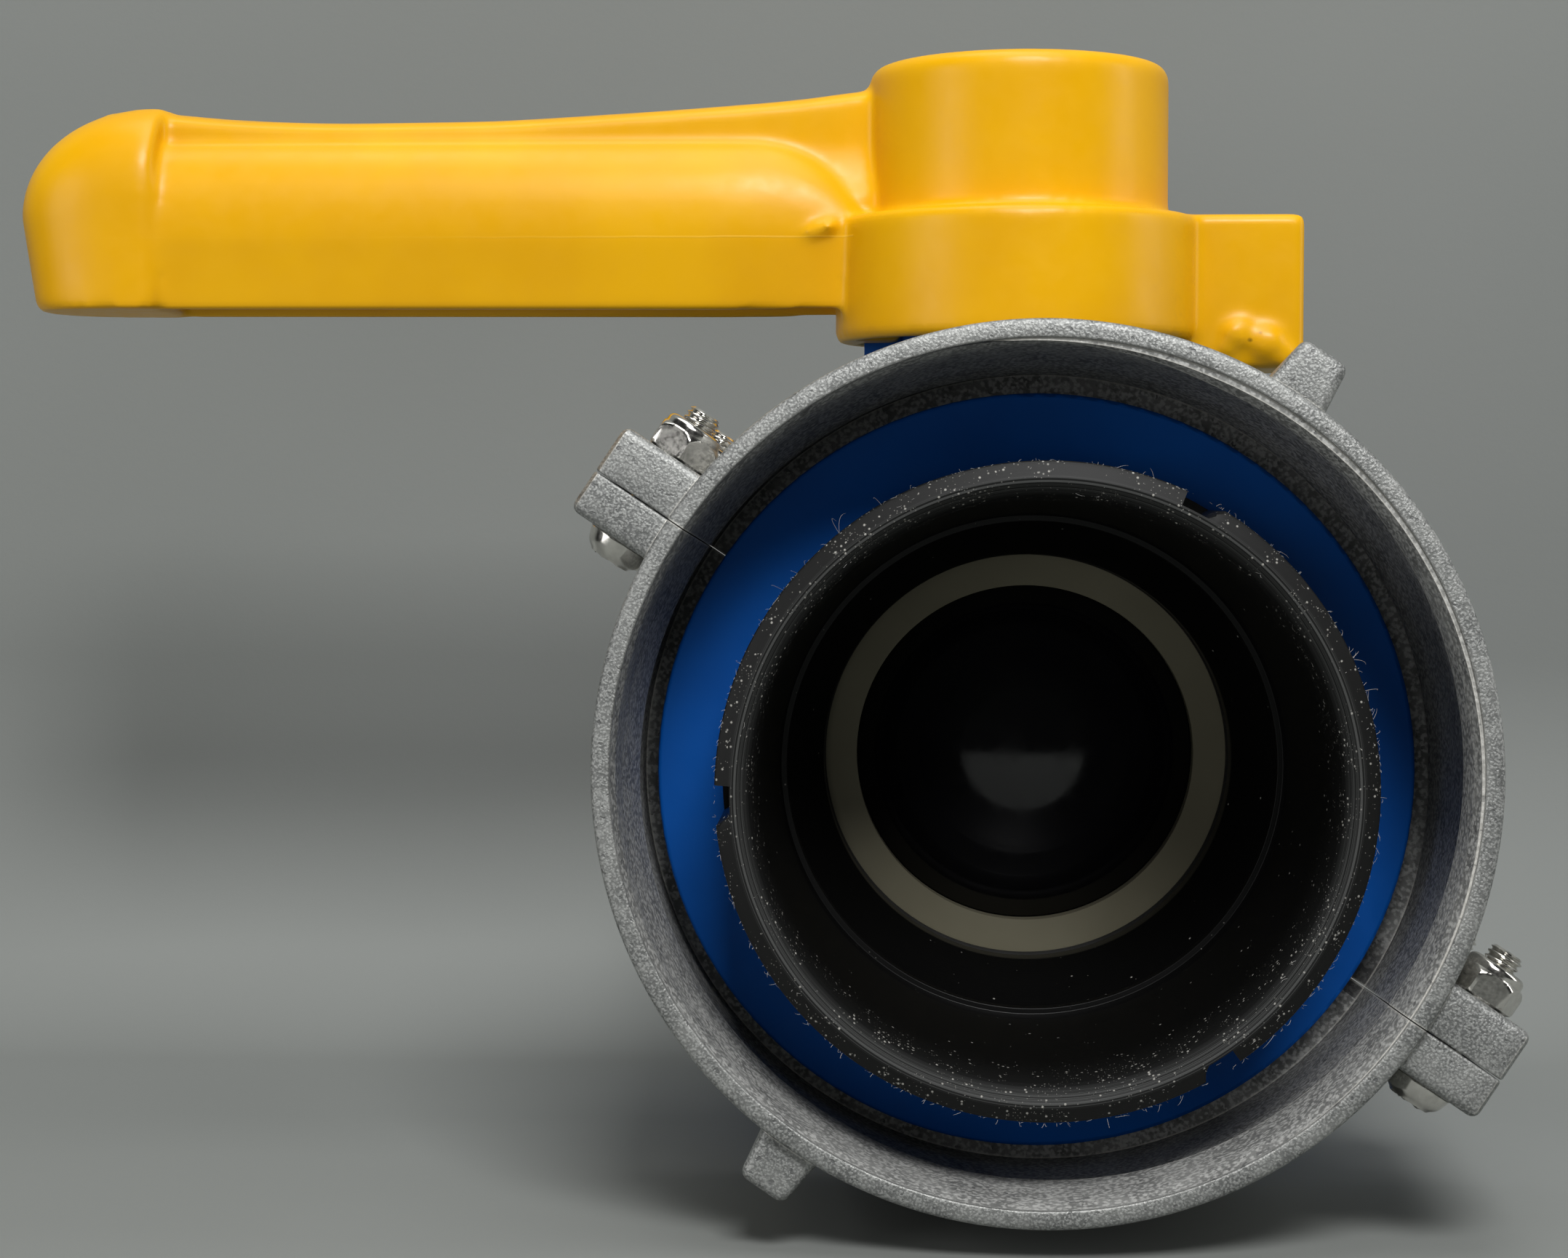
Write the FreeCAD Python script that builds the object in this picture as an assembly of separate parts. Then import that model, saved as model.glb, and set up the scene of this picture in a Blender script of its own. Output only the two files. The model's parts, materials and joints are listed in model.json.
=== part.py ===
"""Plastic ball valve with a split, bolted union nut on its nose.

Frame: X to the right, Y from the nose to the outlet, Z up.  The waterway runs along Y,
the stem stands on Z and the lever points to -X, which is the closed position.  The origin
is the centre of the foot's flat face under the stem.  All sizes are millimetres.

Turned pieces are drawn in the nose view: x right, y up, z out of the nose.  bore_axis()
turns that view onto the waterway.
"""
import FreeCAD
import Part
import math
import os

V = FreeCAD.Vector
ORIGIN = V(0, 0, 0)
X_AXIS, Y_AXIS, Z_AXIS = V(1, 0, 0), V(0, 1, 0), V(0, 0, 1)

# ---------------------------------------------------------------- clearances and fits
SLIP = 0.1                  # pieces that slide together by hand
THREAD_SLIP = 0.05          # plain stand-ins for threads
SEAT_GAP = 0.12             # ball to seat
STEM_CLEARANCE = 0.06       # stem to its way through the boss
RING_GROOVE_SLACK = 0.3     # rubber ring to each side of its groove
TURN_GAP = 0.6              # between pieces that turn past each other
NUT_ROOM = 3.4              # flange to the nut's bore
COLLAR_ROOM = 3.5           # neck to the nut's rear collar
TIP_ROOM = 4.0              # flange's back face to the nut's pivot, so that it can tip
FLOOR_GAP = 1.4             # nut to the surface that the foot stands on

# ---------------------------------------------------------------- driving dimensions
NOSE_REACH = 90.0           # stem axis to the nose rim
OUTLET_REACH = 68.0         # stem axis to the outlet's end
QUARTER_TURN = 90.0         # lever's travel

# ball, seats and waterway
BALL_R = 36.5
WATERWAY_R = 24.5           # through the ball
SEAT_IN_R = WATERWAY_R + 1.7
SEAT_LAND = 2.55            # width of the seat's bearing on the ball
SEAT_THICK = 6.0
SEAT_WALL = 7.8
SEAT_OUT_R = SEAT_IN_R + SEAT_WALL
SEAT_BACK = math.sqrt(BALL_R ** 2 - (SEAT_IN_R + SEAT_LAND) ** 2)
SEAL_SECTION_R = 1.5        # rubber ring behind each seat
SEAT_POCKET = SEAT_BACK + SEAT_THICK + 2 * SEAL_SECTION_R + SLIP

# nose tube
NOSE_R = 45.0
NOSE_RIM_WALL = 3.0
NOSE_THROAT_R = 40.2        # behind the rim's lead-in
NOSE_LEAD_IN = 3.0
NOSE_STEP_R = 37.6          # the throat narrows to this
NOSE_LEDGE_R = 36.4
NOSE_LIP_R = SEAT_OUT_R - 2.8
NOSE_LIP_LENGTH = 4.1       # seat pocket to the lip's front
NOSE_LIP_RISE = 4.8         # from the lip to the ledge
NOSE_LEDGE_WIDTH = 2.1
NOSE_STEP_WIDTH = 2.4
SPIGOT_WALL = 6.0
NOSE_SPIGOT_R = SEAT_OUT_R + SPIGOT_WALL
NOTCH_ANGLES = (61.7, 182.4, -57.6)
NOTCH_WIDTH = 5.5
NOTCH_DEPTH = 2.1
NOTCH_LENGTH = 6.0
NOSE_RING_R = 1.0           # section of the rubber ring round the spigot
NOSE_RING_PLACE = 5.2       # spigot's end to that ring

# body
FLANGE_R = NOSE_R + 10.0
FLANGE_FRONT = 59.0         # stem axis to the flange's front face
FLANGE_THICK = 6.0
NECK_R = NOSE_SPIGOT_R + 6.0
CAVITY_R = BALL_R + 1.5
CHAMBER_R = CAVITY_R + 10.5
CHAMBER_FRONT = 33.0
CHAMBER_BACK = SEAT_POCKET + 8.4
OUTLET_BORE_R = WATERWAY_R + 0.5
THREAD_ROOT_R = OUTLET_BORE_R + 2.6
THREAD_R = THREAD_ROOT_R + 2.4
THREAD_LENGTH = 20.0
THREAD_START = 2.0          # outlet's end to the thread
THREAD_LEAD = 1.0
COLLAR_R = THREAD_R + 6.0
COLLAR_LENGTH = 6.0
BOSS_BASE_R = 30.0
BOSS_BASE_TOP = CHAMBER_R + 8.5     # heights are above the waterway axis

# foot
FOOT_WIDTH = 48.0
FOOT_FRONT = 36.0
FOOT_BACK = 42.0
FOOT_THICK = 8.0
PEDESTAL_WIDTH = 26.0
PEDESTAL_INSET = 4.0
INSERT_SPACING = 50.0
INSERT_R = 4.2
INSERT_BORE_R = 2.5
INSERT_LENGTH = 12.0

# stem
STEM_R = 8.94
BOSS_R = STEM_R + 10.06
TANG_WIDTH = 8.0
TANG_LENGTH = 17.0
SLOT_DEPTH = 6.5
SLOT_FLOOR = BALL_R - SLOT_DEPTH
SHOULDER_R = STEM_R + 3.56
SHOULDER_BASE = BALL_R + 2.5
SHOULDER_TOP = SHOULDER_BASE + 4.0
THRUST_THICK = 1.5
STEM_RING_R = 0.97
STEM_RING_SLACK = 0.02      # groove's floor below the ring, which stands off by half of it
STEM_RING_DROPS = (24.5, 14.5)      # boss top down to each rubber ring

# handle
SKIRT_BASE = BOSS_BASE_TOP + 8.2
BOSS_TOP = SKIRT_BASE + 13.3
SKIRT_WALL = 3.4
SKIRT_R = BOSS_R + 11.0
SKIRT_ROOF = BOSS_TOP + 2.0
SKIRT_TOP = SKIRT_ROOF + 4.9
HUB_R = 24.4
HUB_TOP = SKIRT_TOP + 24.7
SQUARE = 13.0
SQUARE_BASE = BOSS_TOP + 1.0
SQUARE_TOP = SQUARE_BASE + 18.5
WELL_R = 8.6
WELL_FLOOR = SQUARE_TOP + 4.0
LEVER_TIP = 164.8
LEVER_BASE = SKIRT_BASE + 5.2
GRIP_TOP = LEVER_BASE + 28.4
GRIP_ROOT = 26.0
GRIP_CORNER = 14.0
GRIP_ROUND = 7.0
GRIP_HALF = 12.5
SPINE_HALF = 6.0
SPINE_DIP = GRIP_TOP + 2.8
SPINE_ROOT = HUB_TOP - 2.8
BULB_HALF = GRIP_HALF + 1.1
BULB_LENGTH = 22.8
BULB_TOP = GRIP_TOP + 4.8
BULB_ROUND = 17.8
GRIP_END = LEVER_TIP - BULB_LENGTH
POCKET_HALF = 9.3
POCKET_DEPTH = 19.6
POCKET_RIB = 3.5
POCKET_COUNT = 3
POCKET_START = 34.0         # stem axis to the first pocket
BLOCK_REACH = SKIRT_R + 15.6
BLOCK_HALF = 10.5
BLOCK_BASE = SKIRT_BASE - 4.7
HANDLE_SCREW_R = 2.9
HANDLE_SCREW_GRIP = 14.0
HANDLE_SCREW_HEAD_R = 5.2
HANDLE_WASHER_THICK = 1.2
STOP_HALF_ANGLE = 12.0      # the key inside the skirt
STOP_GAP_ANGLE = 1.0
STOP_RIB_HALF_ANGLE = 8.0

# split union nut, in its own nose view; its pivot is on the neck
NUT_WALL = 3.2
NUT_LENGTH = 50.0
NUT_BORE_R = FLANGE_R + NUT_ROOM
NUT_MOUTH_R = NUT_BORE_R + 0.5
NUT_R = NUT_BORE_R + NUT_WALL
NUT_COLLAR_R = NECK_R + COLLAR_ROOM
NUT_COLLAR_THICK = 8.4
NUT_SHOULDER = 0.6          # pivot back to the shoulder that pulls on the flange
NUT_BACK = NUT_SHOULDER + NUT_COLLAR_THICK
NUT_FRONT = NUT_LENGTH - NUT_BACK
NUT_PIVOT = FLANGE_FRONT - FLANGE_THICK - TIP_ROOM
NUT_SHIFT = 0.7             # how far the loose nut hangs to the right
NUT_PITCH = 4.1             # how far it tips its front up
NUT_YAW = 1.6               # and to the left
SEAM_ANGLE = -33.8
SEAM_GAP = 0.16
EAR_UPPER = 7.45
EAR_LOWER = 6.3
EAR_SETBACK = 1.8
EAR_ROUND = 1.2
LUG_REACH = NUT_R + 7.0
LUG_TIP = 7.0
LUG_BASE = 9.0
RIDGE_PITCH = 30.0
RIDGE_RUN = NUT_FRONT - 2.3     # how deep the ridge winds
RIDGE_HEIGHT = 0.9
RIDGE_WIDTH = 4.0
RIDGE_START = 137.0
BORE_HEIGHT = NUT_R + FLOOR_GAP     # waterway axis above the foot's face

# clamp screws and lock nuts
SCREW_R = 2.5
SCREW_HOLE_R = SCREW_R + 0.15
SCREW_INSET = 4.6           # nut's ring to the screw's axis
SCREW_OFFSET = NUT_R + SCREW_INSET
EAR_REACH = SCREW_OFFSET + 7.7
SCREW_SETBACK = 8.7         # nut's front face to the first screw
SCREW_PITCH = NUT_LENGTH - 15.4
LOCK_NUT_FLATS = 9.0
LOCK_NUT_HEX = 3.8
LOCK_NUT_HEIGHT = 5.4
LOCK_COLLAR_R = 4.2
INSERT_RING_R = 3.4
SCREW_TAIL = 2.25           # thread past the lock nut
SCREW_END = EAR_UPPER + LOCK_NUT_HEIGHT + SCREW_TAIL
HEAD_R = 4.75
HEAD_HEIGHT = 3.1
HEAD_ROUND = 1.8
RECESS_HALF = 2.4
RECESS_WIDTH = 1.0
RECESS_DEPTH = 1.6
RECESS_TURN = 20.0


# ---------------------------------------------------------------- helpers
def turned(profile):
    """Solid of revolution about Z from (radius, height) corners."""
    corners = [V(r, 0, z) for r, z in profile]
    face = Part.Face(Part.makePolygon(corners + corners[:1]))
    return face.revolve(ORIGIN, Z_AXIS, 360)


def tube(r_in, r_out, low, high):
    return turned([(r_in, low), (r_out, low), (r_out, high), (r_in, high)])


def rod(radius, low, high, centre=(0, 0)):
    return Part.makeCylinder(radius, high - low, V(centre[0], centre[1], low), Z_AXIS)


def block(x0, x1, y0, y1, z0, z1):
    return Part.makeBox(x1 - x0, y1 - y0, z1 - z0, V(x0, y0, z0))


def rubber_ring(radius, section, height):
    return Part.makeTorus(radius, section, V(0, 0, height), Z_AXIS)


def round_rims(shape, radius, rims):
    """Fillet the circular edges whose (radius, height) is listed."""
    edges = []
    for edge in shape.Edges:
        curve = edge.Curve
        if not isinstance(curve, Part.Circle):
            continue
        for rim_r, height in rims:
            if abs(curve.Radius - rim_r) < 1e-4 and abs(curve.Center.z - height) < 1e-4:
                edges.append(edge)
    return shape.makeFillet(radius, edges)


def outline(start, *spans):
    """Closed face in the XZ plane: a span of one point is a line, of two points an arc."""
    here, edges = V(start[0], 0, start[1]), []
    for span in spans:
        points = [V(x, 0, z) for x, z in span]
        if len(points) == 1:
            edges.append(Part.makeLine(here, points[0]))
        else:
            edges.append(Part.Arc(here, points[0], points[1]).toShape())
        here = points[-1]
    return Part.Face(Part.Wire(edges))


def slab(face, half_width):
    """Thicken an XZ outline evenly to both sides of the XZ plane."""
    face.translate(V(0, -half_width, 0))
    return face.extrude(V(0, 2 * half_width, 0))


def bore_axis(shape):
    """Turn a shape from the nose view onto the waterway, at its height."""
    shape = shape.copy()
    shape.rotate(ORIGIN, X_AXIS, 90)
    shape.translate(V(0, 0, BORE_HEIGHT))
    return shape


def upright(shape):
    """Raise a shape drawn about the stem, from the waterway axis, to its height."""
    shape = shape.copy()
    shape.translate(V(0, 0, BORE_HEIGHT))
    return shape


def sector(r_in, r_out, low, high, middle, half_angle):
    """Piece of a ring, centred on the angle middle."""
    wedge = Part.makeCylinder(r_out, high - low, V(0, 0, low), Z_AXIS, 2 * half_angle)
    wedge = wedge.cut(rod(r_in, low - 1, high + 1))
    wedge.rotate(ORIGIN, Z_AXIS, middle - half_angle)
    return wedge


# ---------------------------------------------------------------- body and waterway
def make_body():
    back = -CHAMBER_BACK
    end = -OUTLET_REACH
    thread_back = end + THREAD_START
    thread_front = thread_back + THREAD_LENGTH
    collar = back - COLLAR_LENGTH
    shell = turned([
        (0, end), (THREAD_ROOT_R, end), (THREAD_ROOT_R, thread_back),
        (THREAD_R, thread_back + THREAD_LEAD), (THREAD_R, thread_front - THREAD_LEAD),
        (THREAD_ROOT_R, thread_front), (THREAD_ROOT_R, collar), (COLLAR_R, collar), (COLLAR_R, back),
        (CHAMBER_R, back), (CHAMBER_R, CHAMBER_FRONT), (NECK_R, CHAMBER_FRONT),
        (NECK_R, FLANGE_FRONT - FLANGE_THICK), (FLANGE_R, FLANGE_FRONT - FLANGE_THICK),
        (FLANGE_R, FLANGE_FRONT), (0, FLANGE_FRONT)])
    shell = round_rims(shell, 4.0, [(CHAMBER_R, back)])
    shell = round_rims(shell, 1.0, [(CHAMBER_R, CHAMBER_FRONT), (COLLAR_R, collar)])
    shell = round_rims(shell, 0.6, [(FLANGE_R, FLANGE_FRONT)])
    body = bore_axis(shell)

    boss = rod(BOSS_BASE_R, 0, BOSS_BASE_TOP).fuse(rod(BOSS_R, 0, BOSS_TOP))
    boss = round_rims(boss, 2.5, [(BOSS_BASE_R, BOSS_BASE_TOP)])
    body = body.fuse(upright(boss))
    for stop in stop_ribs():
        body = body.fuse(upright(stop))
    body = body.fuse(make_foot())

    spigot_end = SEAT_BACK - 2 * SLIP
    pocket = SEAT_POCKET
    hollow = turned([
        (0, end - 1), (OUTLET_BORE_R, end - 1), (OUTLET_BORE_R, -pocket),
        (SEAT_OUT_R + SLIP, -pocket), (SEAT_OUT_R + SLIP, -SEAT_BACK),
        (CAVITY_R, -SEAT_BACK), (CAVITY_R, spigot_end), (NOSE_SPIGOT_R + SLIP, spigot_end),
        (NOSE_SPIGOT_R + SLIP, FLANGE_FRONT + 1), (0, FLANGE_FRONT + 1)])
    body = body.cut(bore_axis(hollow))
    stem_way = rod(STEM_R + STEM_CLEARANCE, 0, BOSS_TOP + 1)
    shoulder_way = rod(SHOULDER_R + TURN_GAP, 0, SHOULDER_TOP + THRUST_THICK + SLIP)
    body = body.cut(upright(stem_way.fuse(shoulder_way)))
    for y in insert_places():
        hole = rod(INSERT_R + THREAD_SLIP, -1, INSERT_LENGTH + SLIP, (0, y))
        body = body.cut(hole)
    return body.removeSplitter()


def make_foot():
    """Base plate and pedestal, drawn at their height."""
    plate = block(-FOOT_WIDTH / 2, FOOT_WIDTH / 2, -FOOT_FRONT, FOOT_BACK, 0, FOOT_THICK)
    upright_edges = [e for e in plate.Edges if e.BoundBox.ZLength > FOOT_THICK / 2]
    plate = plate.makeFillet(5.0, upright_edges)
    half = PEDESTAL_WIDTH / 2
    pedestal = block(-half, half, PEDESTAL_INSET - FOOT_FRONT, FOOT_BACK - PEDESTAL_INSET,
                     0, BORE_HEIGHT - (CAVITY_R + NECK_R) / 2)
    return plate.fuse(pedestal)


def insert_places():
    return (-INSERT_SPACING / 2, INSERT_SPACING / 2)


def make_foot_inserts():
    """Threaded brass inserts, flush with the foot's face."""
    return [tube(INSERT_BORE_R, INSERT_R, 0, INSERT_LENGTH).translated(V(0, y, 0))
            for y in insert_places()]


def stop_ribs():
    """Two ribs on the boss that the skirt's key meets when closed and when open."""
    reach = SKIRT_R - SKIRT_WALL - TURN_GAP
    rib = STOP_RIB_HALF_ANGLE
    closed = 180 - STOP_HALF_ANGLE - STOP_GAP_ANGLE - rib
    opened = 180 + QUARTER_TURN + STOP_HALF_ANGLE + STOP_GAP_ANGLE + rib
    return [sector(BOSS_R - 2, reach, BOSS_BASE_TOP - 3, BOSS_TOP - TURN_GAP, angle, rib)
            for angle in (closed, opened)]


def make_nose_tube():
    rim, flange, pocket = NOSE_REACH, FLANGE_FRONT, SEAT_POCKET
    groove_r = NOSE_SPIGOT_R - 2 * NOSE_RING_R
    groove_half = NOSE_RING_R + RING_GROOVE_SLACK
    groove_low = SEAT_BACK + NOSE_RING_PLACE - groove_half
    groove_high = SEAT_BACK + NOSE_RING_PLACE + groove_half
    lip = pocket + NOSE_LIP_LENGTH
    ledge = lip + NOSE_LIP_RISE
    step = ledge + NOSE_LEDGE_WIDTH
    sleeve = turned([
        (NOSE_SPIGOT_R, SEAT_BACK), (NOSE_SPIGOT_R, groove_low), (groove_r, groove_low),
        (groove_r, groove_high), (NOSE_SPIGOT_R, groove_high), (NOSE_SPIGOT_R, flange),
        (NOSE_R, flange), (NOSE_R, rim - 0.6), (NOSE_R - 0.6, rim), (NOSE_R - NOSE_RIM_WALL, rim),
        (NOSE_THROAT_R, rim - NOSE_LEAD_IN), (NOSE_STEP_R, step + NOSE_STEP_WIDTH),
        (NOSE_LEDGE_R, step), (NOSE_LEDGE_R, ledge), (NOSE_LIP_R, lip), (NOSE_LIP_R, pocket),
        (SEAT_OUT_R + SLIP, pocket), (SEAT_OUT_R + SLIP, SEAT_BACK)])
    for angle in NOTCH_ANGLES:
        notch = block(NOSE_R - NOTCH_DEPTH, NOSE_R + 1, -NOTCH_WIDTH / 2, NOTCH_WIDTH / 2,
                      rim - NOTCH_LENGTH, rim + 1)
        notch.rotate(ORIGIN, Z_AXIS, angle)
        sleeve = sleeve.cut(notch)
    return bore_axis(sleeve)


def make_nose_ring():
    """Rubber ring in the spigot's groove, just clear of the neck."""
    middle_r = NOSE_SPIGOT_R + SLIP / 2 - NOSE_RING_R
    return bore_axis(rubber_ring(middle_r, NOSE_RING_R, SEAT_BACK + NOSE_RING_PLACE))


def make_seat(side):
    """Seat ring; side is 1 for the nose and -1 for the outlet."""
    front = SEAT_BACK + SEAT_THICK
    ring = tube(SEAT_IN_R, SEAT_OUT_R, SEAT_BACK, front)
    ring = ring.cut(Part.makeSphere(BALL_R + SEAT_GAP))
    if side < 0:
        ring.rotate(ORIGIN, Y_AXIS, 180)
    return bore_axis(ring)


def make_seat_seal(side):
    """Rubber ring that pushes a seat onto the ball."""
    height = SEAT_BACK + SEAT_THICK + SEAL_SECTION_R + SLIP / 2
    return bore_axis(rubber_ring(SEAT_OUT_R - SEAL_SECTION_R, SEAL_SECTION_R, side * height))


def make_ball():
    """Ball in the closed position, its waterway along X."""
    ball = Part.makeSphere(BALL_R)
    way = Part.makeCylinder(WATERWAY_R, 4 * BALL_R, V(-2 * BALL_R, 0, 0), X_AXIS)
    ball = ball.cut(way)
    half = TANG_WIDTH / 2 + SLIP
    slot = block(-half, half, -BALL_R, BALL_R, SLOT_FLOOR, BALL_R + 1)
    return upright(ball.cut(slot))


# ---------------------------------------------------------------- stem
def stem_ring_heights():
    return [BOSS_TOP - drop for drop in STEM_RING_DROPS]


def make_stem():
    profile = [(0, SHOULDER_BASE), (SHOULDER_R, SHOULDER_BASE), (SHOULDER_R, SHOULDER_TOP),
               (STEM_R, SHOULDER_TOP)]
    groove_r = STEM_R - 2 * STEM_RING_R - STEM_RING_SLACK
    half = STEM_RING_R + RING_GROOVE_SLACK
    for height in stem_ring_heights():
        profile += [(STEM_R, height - half), (groove_r, height - half),
                    (groove_r, height + half), (STEM_R, height + half)]
    profile += [(STEM_R, SQUARE_BASE), (0, SQUARE_BASE)]
    stem = turned(profile)
    half_x, half_y = TANG_WIDTH / 2, TANG_LENGTH / 2
    tang = block(-half_x, half_x, -half_y, half_y, SLOT_FLOOR + 0.3, SHOULDER_BASE)
    square = block(-SQUARE / 2, SQUARE / 2, -SQUARE / 2, SQUARE / 2, SQUARE_BASE, SQUARE_TOP)
    stem = stem.fuse(tang).fuse(square)
    screw_hole = rod(HANDLE_SCREW_R + THREAD_SLIP, SQUARE_TOP - HANDLE_SCREW_GRIP - 1, SQUARE_TOP + 1)
    return upright(stem.cut(screw_hole).removeSplitter())


def make_stem_rings():
    return [upright(rubber_ring(STEM_R - STEM_RING_R - STEM_RING_SLACK / 2, STEM_RING_R, height))
            for height in stem_ring_heights()]


def make_thrust_washer():
    low = SHOULDER_TOP
    return upright(tube(STEM_R + SLIP, SHOULDER_R, low, low + THRUST_THICK))


# ---------------------------------------------------------------- handle
def make_handle():
    skirt = rod(SKIRT_R, SKIRT_BASE, SKIRT_TOP)
    stop = block(0, BLOCK_REACH, -BLOCK_HALF, BLOCK_HALF, BLOCK_BASE, SKIRT_TOP)
    outer = [e for e in stop.Edges if e.CenterOfMass.x > BLOCK_REACH - 0.1]
    handle = round_rims(skirt, 2.0, [(SKIRT_R, SKIRT_TOP)]).fuse(stop.makeFillet(1.4, outer))
    hub = round_rims(rod(HUB_R, SKIRT_TOP - 4, HUB_TOP), 2.5, [(HUB_R, HUB_TOP)])
    handle = handle.fuse(hub)
    for piece in (make_grip(), make_spine(), make_bulb()):
        handle = handle.fuse(piece)
    handle = handle.cut(rod(SKIRT_R - SKIRT_WALL, BLOCK_BASE - 1, SKIRT_ROOF))
    key = sector(BOSS_R + TURN_GAP, SKIRT_R - 1, SKIRT_BASE, SKIRT_ROOF + 1, 180, STOP_HALF_ANGLE)
    handle = handle.fuse(key)
    half = SQUARE / 2 + SLIP
    handle = handle.cut(block(-half, half, -half, half, SKIRT_ROOF - 1, SQUARE_TOP + SLIP))
    handle = handle.cut(rod(HANDLE_SCREW_R + 0.4, SQUARE_TOP, WELL_FLOOR + 1))
    handle = handle.cut(rod(WELL_R, WELL_FLOOR, HUB_TOP + 1))
    for pocket in lever_pockets():
        handle = handle.cut(pocket)
    return upright(handle.removeSplitter())


def make_grip():
    """Thick bar of the lever with rounded upper edges and a rounded root."""
    corner, low, top = GRIP_CORNER, LEVER_BASE, GRIP_TOP
    slope = corner * (1 - math.sqrt(0.5))
    face = outline((-GRIP_END, low), [(-GRIP_ROOT, low)], [(-GRIP_ROOT, top - corner)],
                   [(-GRIP_ROOT - slope, top - slope), (-GRIP_ROOT - corner, top)],
                   [(-GRIP_END, top)], [(-GRIP_END, low)])
    grip = slab(face, GRIP_HALF)
    sides = [e for e in grip.Edges
             if abs(abs(e.CenterOfMass.y) - GRIP_HALF) < 1e-3
             and e.BoundBox.ZMin > low + 10 and e.CenterOfMass.x > -GRIP_END + 1]
    return grip.makeFillet(GRIP_ROUND, sides)


def make_spine():
    """Web on top of the grip that climbs to the hub and to the bulb."""
    low, dip, root = GRIP_TOP - 8.8, SPINE_DIP, SPINE_ROOT
    end = -GRIP_END - 2
    face = outline((end, low), [(0, low)], [(0, root)], [(-HUB_R, root)],
                   [(-HUB_R - 33, dip + 1.6), (-HUB_R - 70, dip)], [(end + 22, dip)],
                   [(end + 11, dip + 0.4), (end, BULB_TOP)], [(end, low)])
    return slab(face, SPINE_HALF)


def make_bulb():
    """Swollen end of the lever, wider than the grip."""
    low, tip, round_r = LEVER_BASE, -LEVER_TIP, BULB_ROUND
    slope = round_r * (1 - math.sqrt(0.5))
    face = outline((-GRIP_END + 1, low), [(-GRIP_END + 1, BULB_TOP)], [(tip + round_r, BULB_TOP)],
                   [(tip + slope, BULB_TOP - slope), (tip, BULB_TOP - round_r)], [(tip, low)],
                   [(-GRIP_END + 1, low)])
    bulb = slab(face, BULB_HALF)
    rounded = [e for e in bulb.Edges
               if abs(abs(e.CenterOfMass.y) - BULB_HALF) < 1e-3
               and e.BoundBox.ZMax > low + 1 and e.CenterOfMass.x < -GRIP_END]
    return bulb.makeFillet(4.0, rounded)


def lever_pockets():
    """Cored underside of the lever, parted by cross ribs."""
    run = GRIP_END - 4 - POCKET_START
    length = (run - (POCKET_COUNT - 1) * POCKET_RIB) / POCKET_COUNT
    starts = [POCKET_START + i * (length + POCKET_RIB) for i in range(POCKET_COUNT)]
    return [block(-start - length, -start, -POCKET_HALF, POCKET_HALF,
                  LEVER_BASE - 1, LEVER_BASE + POCKET_DEPTH) for start in starts]


def make_handle_washer():
    low = WELL_FLOOR
    return upright(tube(HANDLE_SCREW_R + 0.3, WELL_R - 0.8, low, low + HANDLE_WASHER_THICK))


def make_handle_screw():
    low = WELL_FLOOR + HANDLE_WASHER_THICK
    shank = rod(HANDLE_SCREW_R, SQUARE_TOP - HANDLE_SCREW_GRIP, low + 1)
    head = round_rims(rod(HANDLE_SCREW_HEAD_R, low, low + 4.0), 1.2,
                      [(HANDLE_SCREW_HEAD_R, low + 4.0)])
    socket = Part.Face(Part.makePolygon(hexagon(5.0, low + 1.6))).extrude(V(0, 0, 4))
    return upright(shank.fuse(head).cut(socket))


def hexagon(flats, height):
    """Closed hexagon of corners about Z, with flats towards X and -X."""
    radius = flats / math.sqrt(3)
    turns = [math.radians(30 + 60 * i) for i in range(7)]
    return [V(radius * math.cos(turn), radius * math.sin(turn), height) for turn in turns]


# ---------------------------------------------------------------- split union nut
def hang_nut(shape):
    """Turn a piece of the nut to its seam angle, tip it as it hangs and put it on the neck."""
    shape = shape.copy()
    shape.rotate(ORIGIN, Z_AXIS, SEAM_ANGLE)
    shape.rotate(ORIGIN, X_AXIS, -NUT_PITCH)
    shape.rotate(ORIGIN, Y_AXIS, -NUT_YAW)
    shape.translate(V(NUT_SHIFT, 0, NUT_PIVOT))
    return bore_axis(shape)


def half_space(side):
    """Everything on one side of the seam plane, less half of its gap."""
    reach = 2 * NUT_R
    start = SEAM_GAP / 2
    low, high = (start, reach) if side > 0 else (-reach, -start)
    return block(-reach, reach, low, high, -reach, reach)


def nut_ring():
    front, back = NUT_FRONT, -NUT_BACK
    ring = turned([
        (NUT_COLLAR_R, back), (NUT_R, back), (NUT_R, front), (NUT_MOUTH_R, front),
        (NUT_BORE_R, front - 0.6), (NUT_BORE_R, -NUT_SHOULDER), (NUT_COLLAR_R, -NUT_SHOULDER)])
    return round_rims(ring, 0.8, [(NUT_R, front), (NUT_R, back)])


def nut_ridge():
    """Helical ridge inside the nut, drawn from its deep end to the mouth."""
    turns = RIDGE_RUN / RIDGE_PITCH
    start = NUT_FRONT - RIDGE_RUN
    helix = Part.makeHelix(RIDGE_PITCH, RIDGE_RUN, NUT_BORE_R)
    root = NUT_BORE_R + 0.8
    crest = NUT_BORE_R - RIDGE_HEIGHT
    section = [V(root, 0, 0), V(crest, 0, 0.2), V(crest, 0, RIDGE_WIDTH * 0.5),
               V(root, 0, RIDGE_WIDTH), V(root, 0, 0)]
    ridge = Part.Wire(helix).makePipeShell([Part.makePolygon(section)], True, True)
    ridge.translate(V(0, 0, start))
    ridge.rotate(ORIGIN, Z_AXIS, RIDGE_START - 360 * turns)
    return ridge.common(rod(NUT_R - 0.5, -NUT_SHOULDER - 0.5, NUT_FRONT - 0.6))


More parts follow.
